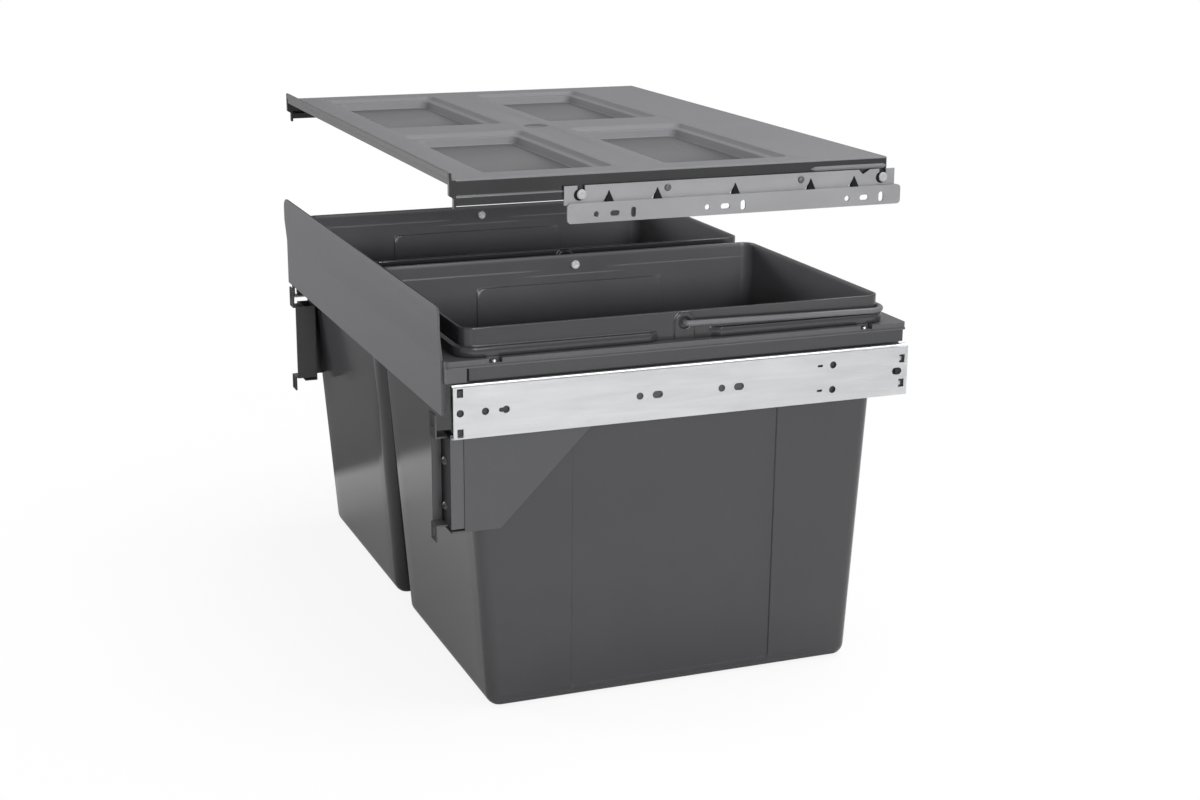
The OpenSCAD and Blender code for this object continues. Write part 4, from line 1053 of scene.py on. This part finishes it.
@dataclass
class LidBrackets:
    """The two side brackets that carry the lid, with their domed studs, and dark pieces as painted shade in
    their pockets and slots.
    """

    stud_shares: Pair = (0.29, 0.69)
    rib_shares: tuple[float, ...] = (0.12, 0.26, 0.49, 0.72, 0.855)
    step_z: float = 421.35
    plate_y0: float = -102.0
    plate_l: float = 291.5
    plate_x: float = 279.9
    stud_z: float = 429.4
    pin_y: Pair = (-90.0, 173.5)
    pin_z: float = 428.0
    pocket_half: float = 3.4
    pocket_h: float = 8.6
    slot_r: float = 4.6

    def along(self, share: float) -> float:
        """The place in Y at a share of the plate's length."""
        return self.plate_y0 + share * self.plate_l

    def build(self) -> None:
        """Builds the brackets, their studs and the shaded hollows."""
        for side in Side:
            softened(f"lid_bracket_{side.label}", BRACKET_PLASTIC, "lid_rails", 0.35)
        self.build_studs()
        self.build_pockets()
        self.build_slots()

    def build_pockets(self) -> None:
        """Builds dark wedges as painted shade in the three-cornered pockets round the ribs over the brackets'
        step.
        """
        shell = Shell()
        foot, top, half = self.step_z + 0.1, self.step_z + self.pocket_h, self.pocket_half
        for side in Side:
            back, front, out = (side.value * (self.plate_x + step) for step in (-1.4, 0.05, 2.0))
            for share in self.rib_shares:
                y = self.along(share)
                edge = [(y - half, foot), (y + half, foot), (y + 0.3, top), (y - 0.3, top)]
                lower = [(y - 0.3, top - 0.1), (y + 0.3, top - 0.1)]
                slope = np.concatenate([upright(out, edge[:2]), upright(front, lower[::-1])])
                shell.solid([upright(back, edge), upright(front, edge), slope])
        shell.piece("bracket_pocket_shades", [POCKET_SHADE], "lid_rails")

    def build_slots(self) -> None:
        """Builds dark discs as painted shade in the open ends of the brackets' slots, beside the lid's pins.
        """
        shell = Shell()
        profile = [(self.slot_r, out) for out in (-0.4, 0.05, 0.08)]
        for side in Side:
            for y in self.pin_y:
                centre = (y - 1.6, self.pin_z - 0.4)
                shell.solid(turned(side.value * self.plate_x, side.value, centre, profile, 24))
        shell.piece("bracket_slot_shades", [POCKET_SHADE], "lid_rails")

    def build_studs(self) -> None:
        """Builds the studs as low domes."""
        profile = [(2.95, 0.0), (2.9, 0.35), (2.6, 0.8), (2.0, 1.2), (1.2, 1.48), (0.5, 1.58), (0.0, 1.6)]
        shell = Shell()
        for side in Side:
            for share in self.stud_shares:
                centre = (self.along(share), self.stud_z)
                rings = turned(side.value * self.plate_x, side.value, centre, profile, 20)
                shell.loft(rings)
                shell.fill(rings[0])
        shell.piece("bracket_stud_domes", [STUD_PLASTIC], "lid_rails", ["bracket_studs"])


@dataclass
class DrawerFrame:
    """What the drawer carries: rails, cross bar, top frame, front panel, gussets and door brackets."""

    panel_half: float = 269.0
    panel_foot: float = 258.0
    panel_top: float = 345.0
    panel_back: float = -200.0
    panel_t: float = 2.0
    panel_lean: float = 2.0
    panel_r: float = 8.0
    lean_z: float = 301.5
    lean_h: float = 22.0
    curl: float = 0.9
    curl_h: float = 7.0
    gap: Box = (-183.3, -181.3, 286.0, 297.8)
    gap_x: float = 277.0
    frame_screw: Triple = (272.3, -159.62, 299.5)
    frame_screw_rear: float = 166.25
    panel_screw_share: float = 0.84
    panel_screw: Pair = (-197.5, 279.5)
    bracket_screw: Pair = (253.5, -194.5)
    bracket_z0: float = 163.0
    bracket_h: float = 75.0
    bracket_screw_shares: Pair = (0.22, 0.72)

    def build_panel(self) -> None:
        """Builds the front panel: a bent sheet that leans to the front and curls back at its top edge."""
        shell = Shell()
        bend = self.panel_top - self.panel_r
        round_end = bend + self.panel_r * np.sin(np.radians([20, 40, 55, 68, 80, 90]))
        flats = [np.linspace(self.panel_foot, 296, 6), np.linspace(299, 308, 7), np.linspace(314, bend, 6)]
        rows = []
        for z in np.concatenate([*flats, round_end]):
            over = max(0.0, z - bend)
            half = self.panel_half - self.panel_r + math.sqrt(max(self.panel_r**2 - over**2, 0.0))
            lean = self.panel_lean * np.clip((z - self.lean_z) / self.lean_h, 0, 1)
            curl = self.curl * np.clip((z - self.panel_top + self.curl_h) / self.curl_h, 0, 1) ** 2
            y = self.panel_back - self.panel_t - lean + curl
            rows.append(np.array([(x, y, z) for x in np.linspace(-half, half, 40)]))
        shell.loft(rows, closed=False)
        form = {"crease_deg": 50.0, "wall": self.panel_t, "edge": 0.4}
        shell.piece("front_panel_sheet", [PANEL_COAT], "drawer", ["front_panel"], **form)

    def screw_row(
        self, heads: ScrewHeads, name: str, node: str, half: Sequence[Triple], size: Pair, turn: Triple
    ) -> None:
        """Builds the heads of one CAD node's screws, on both sides.

        Args:
            heads: the maker of the heads.
            name: the piece's name.
            node: the CAD node that they stand for.
            half: the right side's places.
            size: the heads' radius and height in mm.
            turn: their rotation in radians.
        """
        points = [(sign * x, y, z) for sign in (-1, 1) for x, y, z in half]
        mesh = heads.run(name, points, {"Radius": size[0] * MM, "Height": size[1] * MM, "Turn": turn})
        dress(mesh, name, [heads.finish], "drawer", [node], 30.0)

    def build_screws(self) -> None:
        """Builds the heads of the frame's, panel's and brackets' screws by Geometry Nodes."""
        zinc, black = ScrewHeads(SLIDE_ZINC), ScrewHeads(SCREW_COAT)
        quarter, small, large = math.radians(90), (2.6, 2.0), (4.0, 2.5)
        x, y, z = self.frame_screw
        row = [(x, y, z), (x, self.frame_screw_rear, z)]
        self.screw_row(zinc, "frame_screw_heads", "frame_screws", row, small, (0.0, 0.0, 0.6))
        row = [(self.panel_screw_share * self.panel_half, *self.panel_screw)]
        self.screw_row(zinc, "panel_screw_heads", "panel_screws", row, small, (-quarter, 0.0, 0.4))
        heights = [self.bracket_z0 + share * self.bracket_h for share in self.bracket_screw_shares]
        row = [(*self.bracket_screw, height) for height in heights]
        self.screw_row(black, "bracket_screw_heads", "door_bracket_screws", row, large, (quarter, 0.0, 0.3))

    def build_gaps(self) -> None:
        """Builds thin dark strips as painted shade at the bottoms of the gaps between the top frame's front
        blocks and the side rails.
        """
        shell = Shell()
        y0, y1, z0, z1 = self.gap
        for side in Side:
            rings = []
            for step, inset in ((-1.0, 0.0), (0.0, 0.0), (0.06, 0.1)):
                low, high = (y0 + inset, y1 - inset), z1 - inset
                outline = [(low[0], z0), (low[1], z0), (low[1], high), (low[0], high)]
                rings.append(upright(side.value * (self.gap_x + step), outline))
            shell.solid(rings)
        shell.piece("frame_front_gap_shades", [POCKET_SHADE], "drawer", crease_deg=30.0)

    def build(self) -> None:
        """Builds the drawer's pieces."""
        for side in Side:
            softened(f"side_rail_{side.label}", RAIL_COAT, "drawer", 0.9)
            softened(f"gusset_{side.label}", GUSSET_COAT, "drawer", 0.45, front=BRACKET_FRONT_SHADE)
            softened(f"door_bracket_{side.label}", BRACKET_COAT, "drawer", 0.45, front=BRACKET_FRONT_SHADE)
        softened("rear_cross_bar", RAIL_COAT, "drawer", 0.6)
        softened("top_frame", FRAME_ABS, "drawer", 0.5)
        self.build_panel()
        self.build_gaps()
        self.build_screws()


@dataclass
class Slides:
    """The two ball slides: outer, middle and inner members, ball cages and rivets."""

    side_x: float = 282.0
    mid_z: float = 262.5
    lance_y: float = 198.5
    lance_rise: float = 10.6
    lance_half: float = 1.7
    lance_t: float = 0.7
    stop_y: Pair = (193.0, 203.6)
    stop_half: float = 17.0
    stop_x: float = 280.75

    def build(self) -> None:
        """Builds the slides' pieces."""
        for side in Side:
            label = side.label
            softened(f"slide_outer_{label}", SLIDE_ZINC, "cabinet_members", 0.22)
            softened(f"slide_middle_{label}", INNER_ZINC_SHADED, "middle_members", 0.2)
            softened(f"slide_inner_{label}", INNER_ZINC_SHADED, "drawer", 0.2)
            softened(f"outer_ball_cage_{label}", BALL_STEEL, "outer_cages", 0.0)
            softened(f"inner_ball_cage_{label}", BALL_STEEL, "inner_cages", 0.0)
        softened("slide_rivets", INNER_ZINC_SHADED, "drawer", 0.3)
        self.build_lances()
        self.build_stops()

    def build_stops(self) -> None:
        """Builds the rubber stops inside the outer members' rear ends, behind their windows, where their
        near-black colour is also painted shade.
        """
        shell = Shell()
        half = self.stop_half
        outline = rounded_rect(*self.stop_y, self.mid_z - half, self.mid_z + half, 3.0)
        middle = np.array([sum(self.stop_y) / 2, self.mid_z])
        for side in Side:
            rings = []
            for sink, inset in ((0.0, 0.0), (0.55, 0.0), (1.35, 0.3), (1.85, 1.0)):
                shrunk = middle + (outline - middle) * (1 - inset / half)
                rings.append(upright(side.value * (self.stop_x - sink), shrunk))
            shell.solid(rings)
        shell.piece("slide_rear_stops", [STOP_RUBBER_SHADE], "cabinet_members")

    def build_lances(self) -> None:
        """Builds the bent tabs that stand in the outer members' rear windows."""
        shell = Shell()
        bend = [(-2.5, -0.5), (-1.5, -0.55), (0.2, -1.2), (1.1, -1.9)]
        for side in Side:
            for rise in (-self.lance_rise, self.lance_rise):
                z = self.mid_z + rise
                rings = []
                for step, sink in bend:
                    x, y = self.side_x + sink, self.lance_y + step
                    inner, low, high = x - self.lance_t, z - self.lance_half, z + self.lance_half
                    plan = ((x, low), (x, high), (inner, high), (inner, low))
                    rings.append(np.array([(side.value * a, y, c) for a, c in plan]))
                shell.solid(rings)
        shell.piece("slide_lances", [SLIDE_ZINC], "cabinet_members")


@dataclass
class Studio:
    """Floor, backdrop light and the camera at the photograph's place."""

    azimuth: float = 68.62
    elevation: float = 15.34
    roll: float = 0.31
    distance: float = 1836.6
    focal_px: float = 1964.7
    target_px: Pair = (568.7, 294.1)
    target: Triple = (0.0, 4.0, 285.2)
    photo: tuple[int, int] = (1200, 800)
    sensor_mm: float = 36.0
    # From here on lengths are in metres, as for the floor and the lamps
    floor_half: float = 8.0
    lamp_aim: Triple = (0.0, 0.0, 0.25)
    # Where the paper starts and ends to turn white, and how white it is for the eye at both
    fade: Box = (0.3, 1.1, 0.88, 1.0)
    card_edge: float = 0.05
    world_light: float = 0.34
    world_gloss: float = 0.5

    def build_camera(self) -> None:
        """Places the camera where the photograph was taken from."""
        a, e, r = (math.radians(v) for v in (self.azimuth, self.elevation, self.roll))
        back = Vector((math.sin(a) * math.cos(e), -math.cos(a) * math.cos(e), math.sin(e)))
        right = (-back).cross(Vector((0, 0, 1))).normalized()
        up = right.cross(-back)
        right, up = right * math.cos(r) + up * math.sin(r), up * math.cos(r) - right * math.sin(r)
        x = (self.target_px[0] - self.photo[0] / 2) / self.focal_px * self.distance
        y = -(self.target_px[1] - self.photo[1] / 2) / self.focal_px * self.distance
        place = (Vector(self.target) - right * x - up * y + back * self.distance) * MM
        lens = bpy.data.cameras.new("camera")
        lens.sensor_width, lens.lens = self.sensor_mm, self.focal_px / self.photo[0] * self.sensor_mm
        lens.clip_end = 50.0
        camera = add_object("camera", lens)
        turn = Matrix((right, up, back)).transposed().to_4x4()
        camera.matrix_world = Matrix.Translation(place) @ turn
        bpy.context.scene.camera = camera

    def build_floor(self) -> None:
        """Lays a pale floor that takes the object's shadow."""
        h = self.floor_half
        mesh = bpy.data.meshes.new("studio_floor")
        mesh.from_pydata([(-h, -h, 0), (h, -h, 0), (h, h, 0), (-h, h, 0)], [], [(0, 1, 2, 3)])
        material = bpy.data.materials.new("studio_paper")
        material.use_nodes = True
        tree = material.node_tree
        node, sums = partial(add_node, tree), partial(add_node, tree, "ShaderNodeMath")
        shader = tree.nodes["Principled BSDF"]
        shader.inputs["Roughness"].default_value = 1.0
        shader.inputs["Specular IOR Level"].default_value = 0.0
        rays = node("ShaderNodeLightPath").outputs
        place = node("ShaderNodeTexCoord").outputs["Object"]
        # Two dark cards, seen by gloss alone: one darkens the upper halves of the bins' fronts, one the
        # lid's edge. Each has its middle and half its width and length in metres.
        cards = []
        for middle, half in (((-0.7, -0.27, 0.0), (0.3, 0.27, 1.0)), ((2.0, 0.1, 0.0), (0.45, 0.56, 1.0))):
            offset = node("ShaderNodeVectorMath", {0: place, 1: middle}, operation="SUBTRACT")
            share = node("ShaderNodeVectorMath", {0: offset.outputs[0], 1: half}, operation="DIVIDE")
            size = node("ShaderNodeVectorMath", {0: share.outputs[0]}, operation="ABSOLUTE")
            parts = node("ShaderNodeSeparateXYZ", {"Vector": size.outputs[0]}).outputs
            most = sums({0: parts["X"], 1: parts["Y"]}, operation="MAXIMUM")
            edge = self.card_edge
            ends = {"Value": most.outputs[0], "From Min": 1 + edge, "From Max": 1 - edge}
            cards.append(node("ShaderNodeMapRange", ends).outputs["Result"])
        both = sums({0: cards[0], 1: cards[1]}, operation="MAXIMUM")
        dark = sums({0: both.outputs[0], 1: rays["Is Glossy Ray"]}, operation="MULTIPLY")
        tones = {"Factor": dark.outputs[0], MIX_A: linear("#f4f4f4"), MIX_B: linear("#7c7c7c")}
        paper = node("ShaderNodeMix", tones, data_type="RGBA")
        tree.links.new(paper.outputs[MIX_RESULT], shader.inputs["Base Color"])
        # The paper turns to plain white away from the object, so no horizon shows
        away = node("ShaderNodeVectorMath", {0: place}, operation="LENGTH").outputs["Value"]
        ends = dict(zip(("From Min", "From Max", "To Min", "To Max"), self.fade))
        fade = node("ShaderNodeMapRange", {"Value": away, **ends}).outputs["Result"]
        share = sums({0: rays["Is Camera Ray"], 1: fade}, operation="MULTIPLY").outputs[0]
        white = node("ShaderNodeEmission", {"Strength": 1.0}).outputs[0]
        mixed = node("ShaderNodeMixShader", {0: share, 1: shader.outputs[0], 2: white})
        tree.links.new(mixed.outputs[0], tree.nodes["Material Output"].inputs["Surface"])
        mesh.materials.append(material)
        floor = add_object("studio_floor", mesh)

    def build_world(self) -> None:
        """Fills the world with white for the eye, half as bright for gloss and a third as bright as light."""
        world = bpy.data.worlds.new("studio_white")
        world.use_nodes = True
        tree = world.node_tree
        rays = add_node(tree, "ShaderNodeLightPath").outputs
        sums = partial(add_node, tree, "ShaderNodeMath", operation="MAXIMUM")
        seen = sums({0: rays["Is Camera Ray"], 1: rays["Is Transmission Ray"]})
        ends = {"Value": rays["Is Glossy Ray"], "To Min": self.world_light, "To Max": self.world_gloss}
        gloss = add_node(tree, "ShaderNodeMapRange", ends)
        strength = sums({0: seen.outputs[0], 1: gloss.outputs["Result"]})
        sky = tree.nodes["Background"]
        sky.inputs["Color"].default_value = (1, 1, 1, 1)
        tree.links.new(strength.outputs[0], sky.inputs["Strength"])
        bpy.context.scene.world = world

    def build_lamp(self, name: str, place: Triple, size: Pair, power: float) -> None:
        """Hangs one soft box that faces the object.

        Args:
            name: the lamp's name.
            place: where it hangs, in metres.
            size: its width and height in metres.
            power: its power in watts.
        """
        lamp = bpy.data.lights.new(name, "AREA")
        lamp.shape, lamp.size, lamp.size_y, lamp.energy = "RECTANGLE", size[0], size[1], power
        turn = (Vector(self.lamp_aim) - Vector(place)).to_track_quat("-Z", "Y").to_matrix().to_4x4()
        add_object(name, lamp).matrix_world = Matrix.Translation(place) @ turn

    def build(self) -> None:
        """Builds the studio."""
        self.build_camera()
        self.build_floor()
        self.build_world()
        self.build_lamp("soft_box_above", (0.2, 0.6, 2.2), (1.5, 1.5), 40.0)
        self.build_lamp("soft_box_right", (2.2, 0.9, 0.95), (1.3, 0.9), 6.0)
        self.build_lamp("soft_box_low_right", (2.4, -0.1, 0.7), (0.9, 0.28), 22.0)
        self.build_lamp("soft_box_low_front", (-1.3, -1.8, 0.6), (1.1, 0.4), 21.0)
        bpy.context.scene.view_settings.view_transform = "Standard"


def main() -> None:
    """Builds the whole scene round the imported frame."""
    logging.basicConfig(level=logging.INFO, format="%(message)s")
    Studio().build()
    Slides().build()
    DrawerFrame().build()
    rods = RoundRod(BAIL_PLASTIC)
    for side in Side:
        unit = WasteBin(side)
        unit.build_bin()
        unit.build_bail(rods)
        unit.build_caps()
    CoverLid().build()
    LidBrackets().build()
    bpy.context.view_layer.update()


if __name__ == "__main__":
    main()
